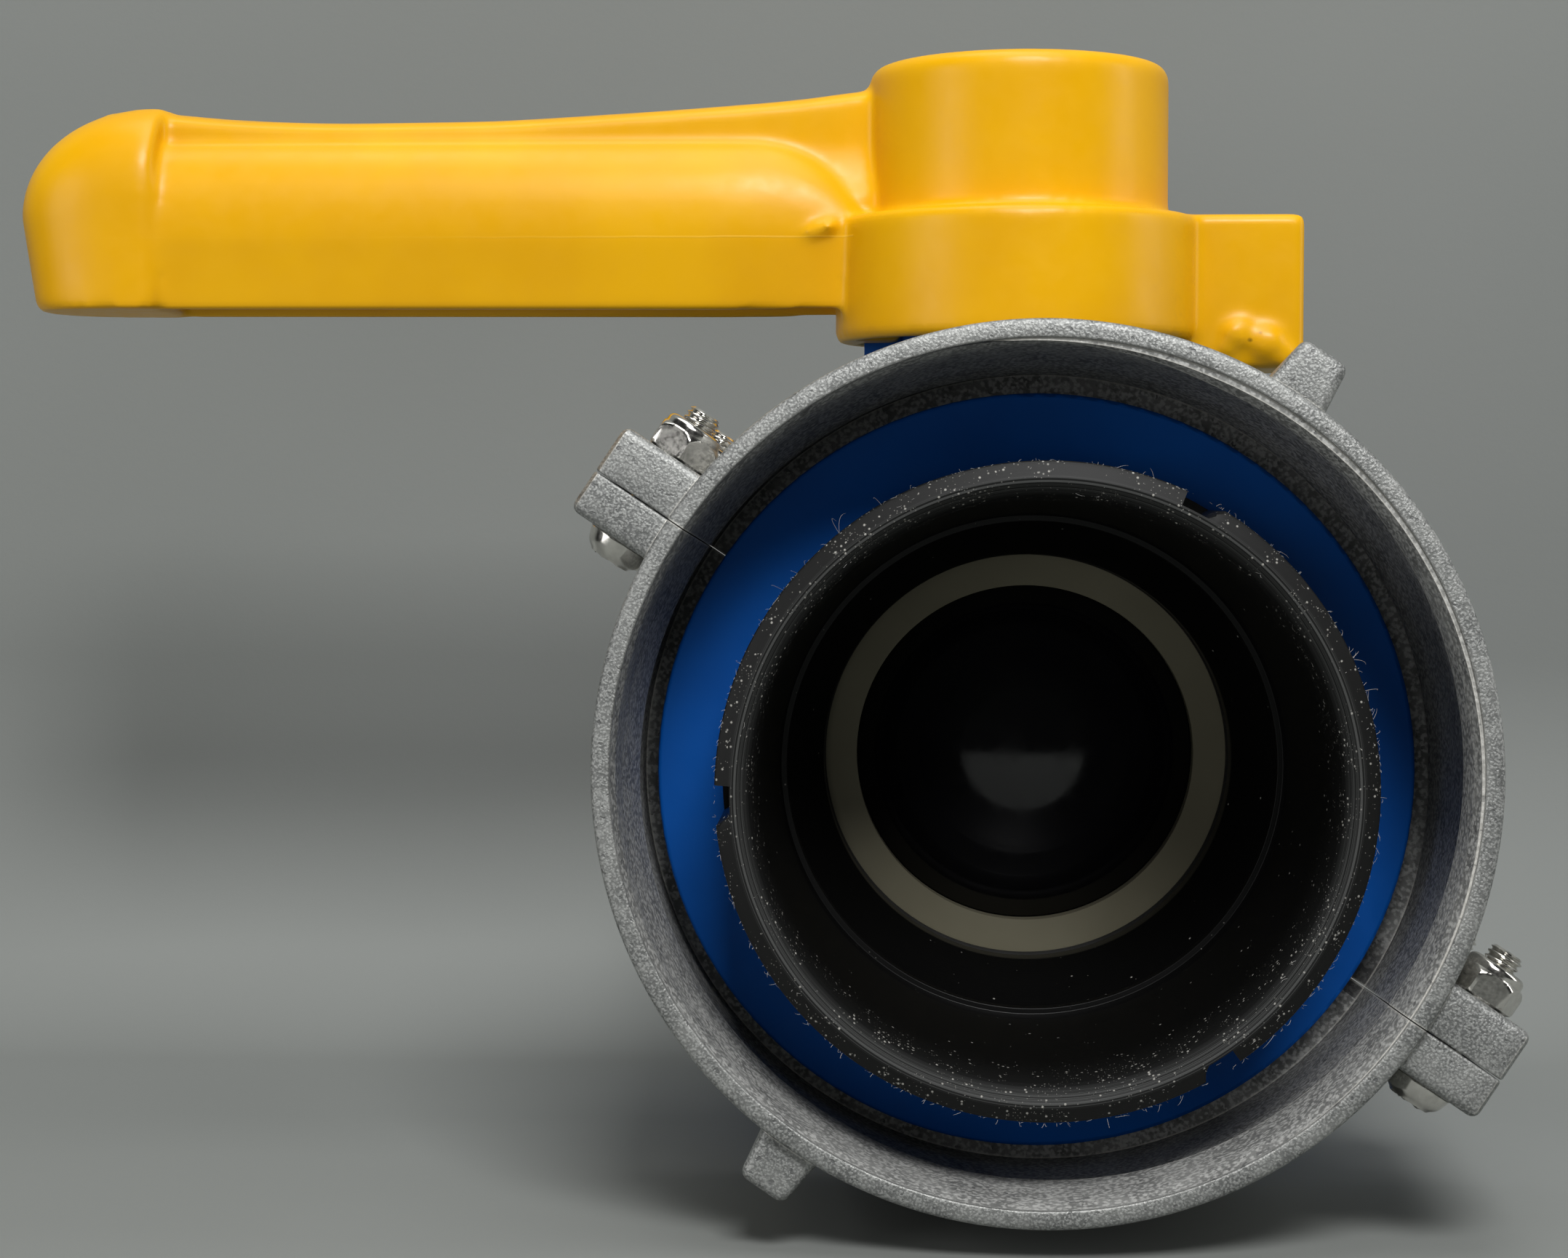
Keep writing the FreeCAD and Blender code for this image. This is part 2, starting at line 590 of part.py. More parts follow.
def ear(side, reach_x, height):
    """Bolted ear of one half, at the reach_x end of the seam."""
    inner = NUT_BORE_R + 0.8
    x0, x1 = (inner, EAR_REACH) if reach_x > 0 else (-EAR_REACH, -inner)
    seam = side * SEAM_GAP / 2
    top = side * height
    box = block(x0, x1, min(seam, top), max(seam, top), -NUT_BACK, NUT_FRONT - EAR_SETBACK)
    rounded = [e for e in box.Edges if abs(e.CenterOfMass.y - seam) > 0.1]
    return box.makeFillet(EAR_ROUND, rounded)


def lug(side):
    """Blunt rib for a spanner in the middle of a half."""
    low = NUT_BORE_R + 1.2
    base, tip = LUG_BASE / 2, LUG_TIP / 2
    bottom, top = -NUT_BACK + 1, NUT_FRONT - EAR_SETBACK
    corners = [V(-base, side * low, bottom), V(base, side * low, bottom),
               V(tip, side * LUG_REACH, bottom), V(-tip, side * LUG_REACH, bottom)]
    wedge = Part.Face(Part.makePolygon(corners + corners[:1])).extrude(V(0, 0, top - bottom))
    outer = [e for e in wedge.Edges if abs(e.CenterOfMass.y) > LUG_REACH - 0.1]
    return wedge.makeFillet(1.2, outer)


def screw_places():
    """(x, z) of the four clamp screws in the nut's own view."""
    first = NUT_FRONT - SCREW_SETBACK
    return [(x, z) for x in (-SCREW_OFFSET, SCREW_OFFSET) for z in (first, first - SCREW_PITCH)]


def across_seam(shape, place):
    """Put a shape drawn about Z across the seam, its +Z towards the upper half."""
    shape = shape.copy()
    shape.rotate(ORIGIN, X_AXIS, -90)
    shape.translate(V(place[0], 0, place[1]))
    return shape


def make_nut_half(side):
    half = nut_ring().fuse(nut_ridge()).common(half_space(side))
    height = EAR_UPPER if side > 0 else EAR_LOWER
    for reach_x in (-1, 1):
        half = half.fuse(ear(side, reach_x, height))
    half = half.fuse(lug(side))
    for place in screw_places():
        half = half.cut(across_seam(rod(SCREW_HOLE_R, -20, 20), place))
    return hang_nut(half)


def make_clamp_screws():
    low = -EAR_LOWER
    shank = rod(SCREW_R, low - 0.5, SCREW_END)
    shank = shank.makeChamfer(0.5, [e for e in shank.Edges if e.CenterOfMass.z > SCREW_END - 0.1])
    tip = low - HEAD_HEIGHT
    head = round_rims(rod(HEAD_R, tip, low), HEAD_ROUND, [(HEAD_R, tip)])
    screw = shank.fuse(head)
    for turn in (0, 90):
        arm = block(-RECESS_HALF, RECESS_HALF, -RECESS_WIDTH / 2, RECESS_WIDTH / 2,
                    tip - 1, tip + RECESS_DEPTH)
        arm.rotate(ORIGIN, Z_AXIS, turn + RECESS_TURN)
        screw = screw.cut(arm)
    return [hang_nut(across_seam(screw, place)) for place in screw_places()]


def make_lock_nuts():
    low = EAR_UPPER
    bore_r = SCREW_R + THREAD_SLIP
    hexagon_face = Part.Face(Part.makePolygon(hexagon(LOCK_NUT_FLATS, low)))
    nut = hexagon_face.extrude(V(0, 0, LOCK_NUT_HEX))
    top = low + LOCK_NUT_HEIGHT
    nut = nut.fuse(round_rims(rod(LOCK_COLLAR_R, low, top), 0.9, [(LOCK_COLLAR_R, top)]))
    nut = nut.cut(rod(bore_r, low - 1, top + 1))
    nut = nut.cut(rod(INSERT_RING_R, top - 1.7, top - 0.5))
    return [hang_nut(across_seam(nut, place)) for place in screw_places()]


def make_lock_inserts():
    """Nylon rings held in the collars of the lock nuts."""
    top = EAR_UPPER + LOCK_NUT_HEIGHT
    ring = tube(SCREW_R + THREAD_SLIP, INSERT_RING_R, top - 1.7, top - 0.5)
    return [hang_nut(across_seam(ring, place)) for place in screw_places()]


# ---------------------------------------------------------------- export
PIECES = {
    "valve_body": make_body(),
    "foot_inserts": make_foot_inserts(),
    "nose_tube": make_nose_tube(),
    "nose_o_ring": make_nose_ring(),
    "front_seat": make_seat(1),
    "rear_seat": make_seat(-1),
    "front_seat_seal": make_seat_seal(1),
    "rear_seat_seal": make_seat_seal(-1),
    "ball": make_ball(),
    "stem": make_stem(),
    "stem_o_rings": make_stem_rings(),
    "stem_thrust_washer": make_thrust_washer(),
    "handle": make_handle(),
    "handle_washer": make_handle_washer(),
    "handle_screw": make_handle_screw(),
    "upper_nut_half": make_nut_half(1),
    "lower_nut_half": make_nut_half(-1),
    "clamp_screws": make_clamp_screws(),
    "lock_nuts": make_lock_nuts(),
    "lock_nut_inserts": make_lock_inserts(),
}

os.makedirs("parts", exist_ok=True)
for name, shape in PIECES.items():
    if isinstance(shape, list):
        shape = Part.makeCompound(shape)
    shape.exportStep("parts/" + name + ".step")
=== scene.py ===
"""Looks of a plastic ball valve with a yellow lever and a loose split union nut of cast alloy.

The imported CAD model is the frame. Pieces whose real form is finer than the CAD solid are
replaced by surfaces worked out here: the lever, the nut's halves, its screws and lock nuts, and
the nose tube. Lengths in the shape functions are millimetres; heights of the lever's points are
above the waterway's axis.
"""
import json
import math

import bmesh
import bpy
import numpy as np
from mathutils import Matrix, Vector


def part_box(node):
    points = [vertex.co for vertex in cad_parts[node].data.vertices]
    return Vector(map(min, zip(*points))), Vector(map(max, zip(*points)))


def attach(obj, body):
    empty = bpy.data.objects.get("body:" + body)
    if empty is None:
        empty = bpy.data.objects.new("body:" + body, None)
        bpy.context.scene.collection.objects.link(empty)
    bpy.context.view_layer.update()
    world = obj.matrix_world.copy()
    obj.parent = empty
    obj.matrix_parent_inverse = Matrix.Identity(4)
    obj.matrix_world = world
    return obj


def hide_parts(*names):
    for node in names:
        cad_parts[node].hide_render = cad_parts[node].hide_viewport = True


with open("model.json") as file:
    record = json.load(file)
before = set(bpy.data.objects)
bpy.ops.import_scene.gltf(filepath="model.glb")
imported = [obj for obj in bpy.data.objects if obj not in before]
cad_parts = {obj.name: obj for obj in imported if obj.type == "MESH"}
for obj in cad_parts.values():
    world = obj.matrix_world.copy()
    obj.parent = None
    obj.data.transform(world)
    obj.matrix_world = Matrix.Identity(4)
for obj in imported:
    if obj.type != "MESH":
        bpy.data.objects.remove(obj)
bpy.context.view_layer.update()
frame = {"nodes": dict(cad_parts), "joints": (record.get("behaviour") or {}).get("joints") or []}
nodes = frame["nodes"]
joints = {joint["name"]: joint for joint in frame["joints"]}

MM = 0.001
UNIT = Matrix.Identity(4)


# ---------------------------------------------------------------- outlines and grids
def rounded(corners, steps=5, closed=True):
    """Points of a polygon of (u, v, radius) corners, each corner an arc of its radius that
    touches both sides: its centre lies on the bisector, radius / sin(half angle) away."""
    points = np.array([corner[:2] for corner in corners], float)
    count, parts = len(corners), []
    for i, (_, _, radius) in enumerate(corners):
        here = points[i]
        if radius == 0 or (not closed and i in (0, count - 1)):
            parts.append(here[None])
            continue
        before, after = points[i - 1] - here, points[(i + 1) % count] - here
        before /= np.linalg.norm(before)
        after /= np.linalg.norm(after)
        half = 0.5 * math.acos(np.clip(before @ after, -1, 1))
        middle = (before + after) / np.linalg.norm(before + after)
        centre = here + middle * radius / math.sin(half)
        first = here + before * radius / math.tan(half) - centre
        last = here + after * radius / math.tan(half) - centre
        start = math.atan2(first[1], first[0])
        sweep = (math.atan2(last[1], last[0]) - start + math.pi) % (2 * math.pi) - math.pi
        turn = start + sweep * np.linspace(0, 1, steps + 1)
        parts.append(centre + radius * np.stack([np.cos(turn), np.sin(turn)], 1))
    return np.concatenate(parts)


def evenly(points, count, closed=False):
    """The same line through count points, equally spaced along its length."""
    line = np.vstack([points, points[:1]]) if closed else points
    along = np.r_[0, np.cumsum(np.linalg.norm(np.diff(line, axis=0), axis=1))]
    places = np.linspace(0, along[-1], count, endpoint=not closed)
    return np.stack([np.interp(places, along, line[:, i]) for i in range(line.shape[1])], 1)


def mesh_of(grid, wrap_rows=False, wrap_columns=True, ladder=False):
    """Vertices and quads of a grid of points. A ladder closes the first and last row, each of
    them a loop whose point i faces point n - 1 - i."""
    rows, columns = grid.shape[:2]
    index = np.arange(rows * columns).reshape(rows, columns)
    if wrap_rows:
        index = np.vstack([index, index[:1]])
    if wrap_columns:
        index = np.hstack([index, index[:, :1]])
    quads = np.stack([index[:-1, :-1], index[:-1, 1:], index[1:, 1:], index[1:, :-1]], -1)
    quads = quads.reshape(-1, 4)
    if ladder:
        i = np.arange(columns // 2 - 1)
        rung = np.stack([i, i + 1, columns - 2 - i, columns - 1 - i], 1)
        quads = np.vstack([quads, rung[:, ::-1], rung + (rows - 1) * columns])
    return outward(grid.reshape(-1, 3), quads)


def outward(points, quads):
    """Turns a closed shell's faces outwards, by the sign of its volume."""
    a, b, c, d = (points[quads[:, i]] for i in range(4))
    volume = np.einsum("ij,ij", a, np.cross(b, c)) + np.einsum("ij,ij", a, np.cross(c, d))
    return points, quads if volume > 0 else quads[:, ::-1]


def spun(profile, steps=180):
    """Closed shell: a closed (radius, height) loop carried round Z."""
    turn = np.linspace(0, 2 * math.pi, steps, endpoint=False)
    radius, height = profile[:, :1], profile[:, 1:]
    grid = np.stack([radius * np.cos(turn), radius * np.sin(turn), height + 0 * turn], -1)
    return mesh_of(grid, wrap_rows=True)


def slab(corners, low, high, edge, low_edge=None, steps=4):
    """Closed shell: a rounded outline raised along Z, its rim edges quarter circles, worked out
    by moving the outline inwards along its normals. No corner is sharper than an edge."""
    loop = evenly(rounded(corners), 96, closed=True)
    ahead, behind = np.roll(loop, -1, 0), np.roll(loop, 1, 0)
    normal = (ahead - behind)[:, ::-1] * (1, -1)
    normal /= np.linalg.norm(normal, axis=1)[:, None]
    area = np.sum(loop[:, 0] * ahead[:, 1] - ahead[:, 0] * loop[:, 1])
    normal *= np.sign(area)
    quarter = np.linspace(0, math.pi / 2, steps + 1)
    inset, lift = 1 - np.sin(quarter), 1 - np.cos(quarter)
    low_edge = edge if low_edge is None else low_edge
    height = np.r_[low + low_edge * lift, high - edge * lift[::-1]]
    inset = np.r_[low_edge * inset, edge * inset[::-1]]
    flat = loop[None] - inset[:, None, None] * normal[None]
    heights = np.broadcast_to(height[:, None, None], flat.shape[:2] + (1,))
    return mesh_of(np.concatenate([flat, heights], -1), ladder=True)


def moved(shell, matrix):
    """A shell after a matrix whose lengths are millimetres."""
    points, quads = shell
    m = np.array(matrix)
    return points @ m[:3, :3].T + m[:3, 3], quads


def ripple(points, length, seed):
    """Smooth noise from -1 to 1: the mean of six sine waves of random direction."""
    rng = np.random.default_rng(seed)
    ways = rng.normal(size=(6, 3))
    ways *= (2 * math.pi / length) / np.linalg.norm(ways, axis=1)[:, None]
    return np.sin(points @ ways.T + rng.uniform(0, 6.28, 6)).mean(-1)


def make(name, shells, material, body, stands_for=(), crease=35):
    """One piece from closed shells, in metres, its doubles merged and its faces smooth up to the
    crease angle."""
    offset, points, quads = 0, [], []
    for shell_points, shell_quads in shells:
        points.append(shell_points)
        quads.append(shell_quads + offset)
        offset += len(shell_points)
    mesh = bpy.data.meshes.new(name)
    mesh.from_pydata(np.concatenate(points) * MM, [], np.concatenate(quads))
    piece = bpy.data.objects.new(name, mesh)
    bpy.context.collection.objects.link(piece)
    weld(mesh)
    mesh.shade_smooth()
    mesh.set_sharp_from_angle(angle=math.radians(crease))
    mesh.materials.append(material)
    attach(piece, body)
    if stands_for:
        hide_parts(*stands_for)
    return piece


def weld(mesh):
    """Merges vertices that share a place, which closes seams and poles."""
    work = bmesh.new()
    work.from_mesh(mesh)
    bmesh.ops.remove_doubles(work, verts=work.verts, dist=1e-6)
    bmesh.ops.dissolve_degenerate(work, edges=work.edges, dist=1e-7)
    work.to_mesh(mesh)
    work.free()


# ---------------------------------------------------------------- shader building blocks
def add(tree, kind, inputs=None, **settings):
    """Adds a shader node; each input is a plain value or another node's socket."""
    made = tree.nodes.new("ShaderNode" + kind)
    for name, value in settings.items():
        setattr(made, name, value)
    for name, value in (inputs or {}).items():
        if isinstance(value, bpy.types.NodeSocket):
            tree.links.new(value, made.inputs[name])
        else:
            made.inputs[name].default_value = value
    return made


def calc(tree, operation, *values, clamp=False):
    made = add(tree, "Math", dict(enumerate(values)), operation=operation, use_clamp=clamp)
    return made.outputs[0]


def ramp(tree, value, low, high, to_low=0.0, to_high=1.0):
    """Smooth step of a value from low to high."""
    made = add(tree, "MapRange", {"Value": value, "From Min": low, "From Max": high,
                                  "To Min": to_low, "To Max": to_high},
               interpolation_type="SMOOTHSTEP")
    return made.outputs[0]


def noise(tree, place, scale, detail=2.0, rough=0.5, stretch=(1, 1, 1)):
    if stretch != (1, 1, 1):
        place = add(tree, "Mapping", {"Vector": place, "Scale": stretch}).outputs[0]
    made = add(tree, "TexNoise", {"Vector": place, "Scale": scale, "Detail": detail,
                                  "Roughness": rough})
    return made.outputs["Fac"]


def blend(tree, share, first, second):
    """Colour mix from first to second."""
    made = add(tree, "Mix", {0: share, 6: first, 7: second}, data_type="RGBA")
    return made.outputs[2]


def group(name, inputs, outputs):
    """New shader group; returns its tree, its input sockets and its output sockets."""
    tree = bpy.data.node_groups.new(name, "ShaderNodeTree")
    for socket, kind, value in inputs:
        made = tree.interface.new_socket(name=socket, in_out="INPUT", socket_type=kind)
        if value is not None:
            made.default_value = value
    for socket, kind in outputs:
        tree.interface.new_socket(name=socket, in_out="OUTPUT", socket_type=kind)
    entry, leave = tree.nodes.new("NodeGroupInput"), tree.nodes.new("NodeGroupOutput")
    return tree, entry.outputs, leave.inputs


def use(tree, made_group, **inputs):
    """Places a shader group; underscores in the names stand for spaces."""
    placed = tree.nodes.new("ShaderNodeGroup")
    placed.node_tree = made_group
    for name, value in inputs.items():
        socket = placed.inputs[name.replace("_", " ")]
        if isinstance(value, bpy.types.NodeSocket):
            tree.links.new(value, socket)
        else:
            socket.default_value = value
    return placed.outputs


NUMBER, VECTOR = "NodeSocketFloat", "NodeSocketVector"


def make_grain_group():
    """Even fine grain of a moulded or brushed skin: two octaves of noise, the finer one half
    as high."""
    tree, given, out = group("fine grain", [("Place", VECTOR, None), ("Per mm", NUMBER, 1.0)],
                             [("Height", NUMBER)])
    coarse = noise(tree, given["Place"], given["Per mm"], 3.0)
    finer = calc(tree, "MULTIPLY", given["Per mm"], 3.7)
    fine = noise(tree, given["Place"], finer, 2.0)
    tree.links.new(calc(tree, "MULTIPLY_ADD", fine, 0.5, coarse), out["Height"])
    return tree


def make_cast_group():
    """Skin of a die casting: pimples from the bright edges of cells, pits where a noise is low,
    and broad cold-flow patches."""
    tree, given, out = group("cast skin", [("Place", VECTOR, None), ("Per mm", NUMBER, 2.0)],
                             [("Height", NUMBER), ("Patches", NUMBER), ("Pits", NUMBER)])
    cells = add(tree, "TexVoronoi", {"Vector": given["Place"], "Scale": given["Per mm"]},
                feature="SMOOTH_F1").outputs["Distance"]
    grain = noise(tree, given["Place"], given["Per mm"], 4.0, 0.65)
    broad = noise(tree, given["Place"], 0.16, 3.0, 0.6)
    pits = ramp(tree, noise(tree, given["Place"], 0.9, 2.0), 0.36, 0.28)
    height = calc(tree, "MULTIPLY_ADD", cells, -0.7, grain)
    tree.links.new(calc(tree, "MULTIPLY_ADD", pits, -0.6, height), out["Height"])
    tree.links.new(broad, out["Patches"])
    tree.links.new(pits, out["Pits"])
    return tree


def make_dust_group():
    """Loose pale dust: a few cells of a fine pattern, kept where a broad noise is high."""
    tree, given, out = group(
        "loose dust", [("Place", VECTOR, None), ("Per mm", NUMBER, 2.0), ("Amount", NUMBER, 0.5)],
        [("Mask", NUMBER)])
    cells = add(tree, "TexVoronoi", {"Vector": given["Place"], "Scale": given["Per mm"]})
    speck = ramp(tree, cells.outputs["Distance"], 0.34, 0.12)
    chosen = add(tree, "SeparateColor", {"Color": cells.outputs["Color"]}).outputs[0]
    broad = ramp(tree, noise(tree, given["Place"], 0.22, 3.0), 0.35, 0.7)
    limit = calc(tree, "MULTIPLY", broad, given["Amount"])
    kept = calc(tree, "LESS_THAN", chosen, limit)
    tree.links.new(calc(tree, "MULTIPLY", speck, kept), out["Mask"])
    return tree


def make_edge_group():
    """Worn edges: how far the normal turns when it is averaged over a small radius."""
    tree, given, out = group("worn edges", [("Radius", NUMBER, 0.001)], [("Mask", NUMBER)])
    soft = add(tree, "Bevel", {"Radius": given["Radius"]}, samples=6)
    hard = tree.nodes.new("ShaderNodeNewGeometry")
    dot = add(tree, "VectorMath", {0: soft.outputs[0], 1: hard.outputs["Normal"]},
              operation="DOT_PRODUCT")
    tree.links.new(ramp(tree, dot.outputs["Value"], 0.99, 0.86), out["Mask"])
    return tree


FINE_GRAIN = make_grain_group()
CAST_SKIN = make_cast_group()
LOOSE_DUST = make_dust_group()
WORN_EDGES = make_edge_group()


def finish_of(name, metallic=0.0, gloss=0.5):
    """New material; returns it with its tree, its Principled node and the place in mm. The gloss
    is the level of the surface reflection, 0.5 for a clean plastic."""
    material = bpy.data.materials.new(name)
    material.use_nodes = True
    tree = material.node_tree
    shader = tree.nodes["Principled BSDF"]
    shader.inputs["Metallic"].default_value = metallic
    shader.inputs["Specular IOR Level"].default_value = gloss
    return material, tree, shader, place_in(tree, UNIT)


def place_in(tree, matrix):
    """Object coordinates in mm, in the frame of a matrix whose lengths are mm."""
    coordinates = tree.nodes.new("ShaderNodeTexCoord").outputs["Object"]
    per_metre = 1 / MM
    in_mm = add(tree, "Mapping", {"Vector": coordinates, "Scale": (per_metre,) * 3}).outputs[0]
    if matrix == UNIT:
        return in_mm
    back = matrix.inverted()
    made = add(tree, "Mapping", {"Vector": in_mm, "Location": back.to_translation(),
                                 "Rotation": back.to_euler()})
    return made.outputs[0]


def round_z(tree, place):
    """The X, Y and Z of a place, and its distance from the Z axis."""
    axes = add(tree, "SeparateXYZ", {"Vector": place}).outputs
    flat = add(tree, "CombineXYZ", {"X": axes["X"], "Y": axes["Y"]}).outputs[0]
    return axes, add(tree, "VectorMath", {0: flat}, operation="LENGTH").outputs["Value"]


def bump(tree, shader, height, depth, before=None):
    """Bump of a height whose unit step is depth mm high."""
    inputs = {"Height": height, "Distance": depth * MM, "Strength": 1.0}
    if before is not None:
        inputs["Normal"] = before
    made = add(tree, "Bump", inputs)
    tree.links.new(made.outputs[0], shader.inputs["Normal"])
    return made.outputs[0]


def feed(tree, shader, **sockets):
    for name, socket in sockets.items():
        tree.links.new(socket, shader.inputs[name.replace("_", " ")])


# ---------------------------------------------------------------- materials
def plastic(name, colour, darker, roughness, per_mm=0.9, depth=0.012, gloss=0.5):
    """Moulded plastic: faint flow patches in the colour, uneven gloss, a fine grained skin."""
    material, tree, shader, place = finish_of(name, gloss=gloss)
    patches = noise(tree, place, 0.05, 3.0, 0.55)
    feed(tree, shader, Base_Color=blend(tree, ramp(tree, patches, 0.3, 0.7), darker, colour))
    feed(tree, shader, Roughness=ramp(tree, noise(tree, place, 0.4, 3.0), 0.2, 0.8,
                                      roughness - 0.05, roughness + 0.07))
    bump(tree, shader, use(tree, FINE_GRAIN, Place=place, Per_mm=per_mm)["Height"], depth)
    return material


def metal(name, colour, roughness, spread=0.1, per_mm=2.0, depth=0.004):
    """Metal with uneven gloss and fine handling marks."""
    material, tree, shader, place = finish_of(name, metallic=1.0)
    shade = noise(tree, place, 0.6, 4.0)
    dull = tuple(0.78 * c for c in colour[:3]) + (1,)
    feed(tree, shader, Base_Color=blend(tree, ramp(tree, shade, 0.3, 0.7), dull, colour))
    feed(tree, shader, Roughness=ramp(tree, noise(tree, place, 1.7, 4.0), 0.3, 0.75,
                                      roughness, roughness + spread))
    bump(tree, shader, use(tree, FINE_GRAIN, Place=place, Per_mm=per_mm)["Height"], depth)
    return material


blue_plastic = plastic("blue_body", (0.0, 0.078, 0.36, 1), (0.0, 0.068, 0.32, 1), 0.5, gloss=0.2)
ball_plastic = plastic("polished_ball", (0.006, 0.006, 0.007, 1), (0.004, 0.004, 0.005, 1), 0.12,
                       0.15, 0.004)
# Ivory darkened well below its own tone: painted shade for the seats and washer deep in the body.
seat_plastic = plastic("ivory_seat", (0.215, 0.20, 0.14, 1), (0.19, 0.175, 0.12, 1), 0.55, gloss=0.3)
rubber = plastic("seal_rubber", (0.02, 0.02, 0.02, 1), (0.012, 0.012, 0.012, 1), 0.6)
nylon = plastic("nylon", (0.62, 0.65, 0.68, 1), (0.52, 0.55, 0.58, 1), 0.4)
stem_plastic = plastic("stem_plastic", (0.03, 0.03, 0.03, 1), (0.02, 0.02, 0.02, 1), 0.4)
plated_steel = metal("plated_steel", (0.78, 0.76, 0.71, 1), 0.13, 0.12, depth=0.001)
lint = plastic("lint", (0.50, 0.49, 0.47, 1), (0.33, 0.33, 0.32, 1), 0.8, gloss=0.2)
brass = metal("brass", (0.80, 0.60, 0.28, 1), 0.25)


def make_yellow():
    """Moulded yellow plastic: flow patches, a parting line round the lever that shows more
    towards its root, pale scuffs on the edges and dark pinholes in the gate's stub."""
    material, tree, shader, place = finish_of("yellow_lever", gloss=0.3)
    patches = ramp(tree, noise(tree, place, 0.035, 3.0, 0.55), 0.3, 0.7)
    colour = blend(tree, patches, (0.78, 0.385, 0.001, 1), (0.85, 0.44, 0.001, 1))
    axes = add(tree, "SeparateXYZ", {"Vector": place}).outputs
    scuffs = calc(tree, "MULTIPLY", use(tree, WORN_EDGES, Radius=1.0 * MM)["Mask"],
                  ramp(tree, noise(tree, place, 0.35, 4.0), 0.5, 0.75))
    colour = blend(tree, calc(tree, "MULTIPLY", scuffs, 0.4), colour, (0.90, 0.62, 0.10, 1))
    wave = calc(tree, "MULTIPLY", noise(tree, place, 0.08), 0.5)
    level = calc(tree, "SUBTRACT", axes["Z"], wave)
    off = calc(tree, "ABSOLUTE", calc(tree, "SUBTRACT", level, PARTING_HEIGHT))
    along = ramp(tree, axes["X"], -110.0, -40.0, 0.05, 0.7)
    on_lever = calc(tree, "MULTIPLY", calc(tree, "LESS_THAN", axes["X"], -27.0), along)
    line = calc(tree, "MULTIPLY", ramp(tree, off, 0.22, 0.04), on_lever)
    colour = blend(tree, calc(tree, "MULTIPLY", line, 0.3), colour, (0.95, 0.66, 0.10, 1))
    for hole in PINHOLES:
        near = add(tree, "VectorMath", {0: place, 1: hole}, operation="DISTANCE").outputs["Value"]
        colour = blend(tree, ramp(tree, near, 0.75, 0.35), colour, (0.10, 0.04, 0.002, 1))
    feed(tree, shader, Base_Color=colour)
    feed(tree, shader, Roughness=ramp(tree, noise(tree, place, 0.3, 3.0), 0.2, 0.8, 0.32, 0.42))
    skin = use(tree, FINE_GRAIN, Place=place, Per_mm=0.5)["Height"]
    first = bump(tree, shader, skin, 0.010)
    bump(tree, shader, line, 0.03, before=first)
    return material


def make_cast():
    """Die-cast alloy: a speckled rough skin outside, a hammered darker skin inside with a painted
    shade line behind the winding ridge, and worn bright edges."""
    material, tree, shader, _ = finish_of("cast_alloy")
    place = place_in(tree, NUT_PLACE)
    axes, radius = round_z(tree, place)
    inside = calc(tree, "MULTIPLY", ramp(tree, radius, NUT_MOUTH + 0.25, NUT_MOUTH - 0.05),
                  ramp(tree, axes["Z"], NUT_FRONT - 0.1, NUT_FRONT - 0.5))
    skin = use(tree, CAST_SKIN, Place=place, Per_mm=calc(tree, "MULTIPLY_ADD", inside, -1.4, 3.0))
    speckle = ramp(tree, skin["Height"], 0.08, 0.38)
    patches = ramp(tree, skin["Patches"], 0.35, 0.65)
    outer = blend(tree, patches, (0.18, 0.185, 0.18, 1), (0.27, 0.275, 0.265, 1))
    outer = blend(tree, calc(tree, "MULTIPLY", speckle, 0.7), outer, (0.50, 0.505, 0.49, 1))
    inner = blend(tree, patches, (0.17, 0.172, 0.166, 1), (0.26, 0.262, 0.252, 1))
    inner = blend(tree, calc(tree, "MULTIPLY", speckle, 0.75), inner, (0.56, 0.56, 0.54, 1))
    colour = blend(tree, inside, outer, inner)
    angle = calc(tree, "ARCTAN2", axes["Y"], axes["X"])
    first_turn = RIDGE_START / 360 - NUT_FRONT / RIDGE_PITCH
    turns = calc(tree, "MULTIPLY_ADD", angle, -0.5 / math.pi, first_turn)
    behind = calc(tree, "FRACT", calc(tree, "MULTIPLY_ADD", axes["Z"], 1 / RIDGE_PITCH, turns))
    # Painted shade: a dark line just behind each turn of the ridge, where the step's shadow falls.
    painted_ridge_shade = calc(tree, "MULTIPLY", ramp(tree, behind, 0.968, 0.99), inside)
    colour = blend(tree, calc(tree, "MULTIPLY", painted_ridge_shade, 0.75), colour, (0.03, 0.03, 0.032, 1))
    edges = use(tree, WORN_EDGES, Radius=0.6 * MM)["Mask"]
    colour = blend(tree, calc(tree, "MULTIPLY", edges, 0.7), colour, (0.74, 0.72, 0.66, 1))
    feed(tree, shader, Base_Color=blend(tree, calc(tree, "MULTIPLY", skin["Pits"], 0.4), colour,
                                        (0.10, 0.10, 0.105, 1)))
    rough = calc(tree, "MULTIPLY_ADD", skin["Patches"], 0.15, 0.42)
    feed(tree, shader, Roughness=calc(tree, "MULTIPLY_ADD", inside, 0.06, rough))
    feed(tree, shader, Metallic=calc(tree, "MULTIPLY_ADD", inside, -0.5, 0.65))
    feed(tree, shader, Specular_IOR_Level=calc(tree, "MULTIPLY_ADD", inside, -0.3, 0.5))
    bump(tree, shader, skin["Height"], 0.08)
    return material


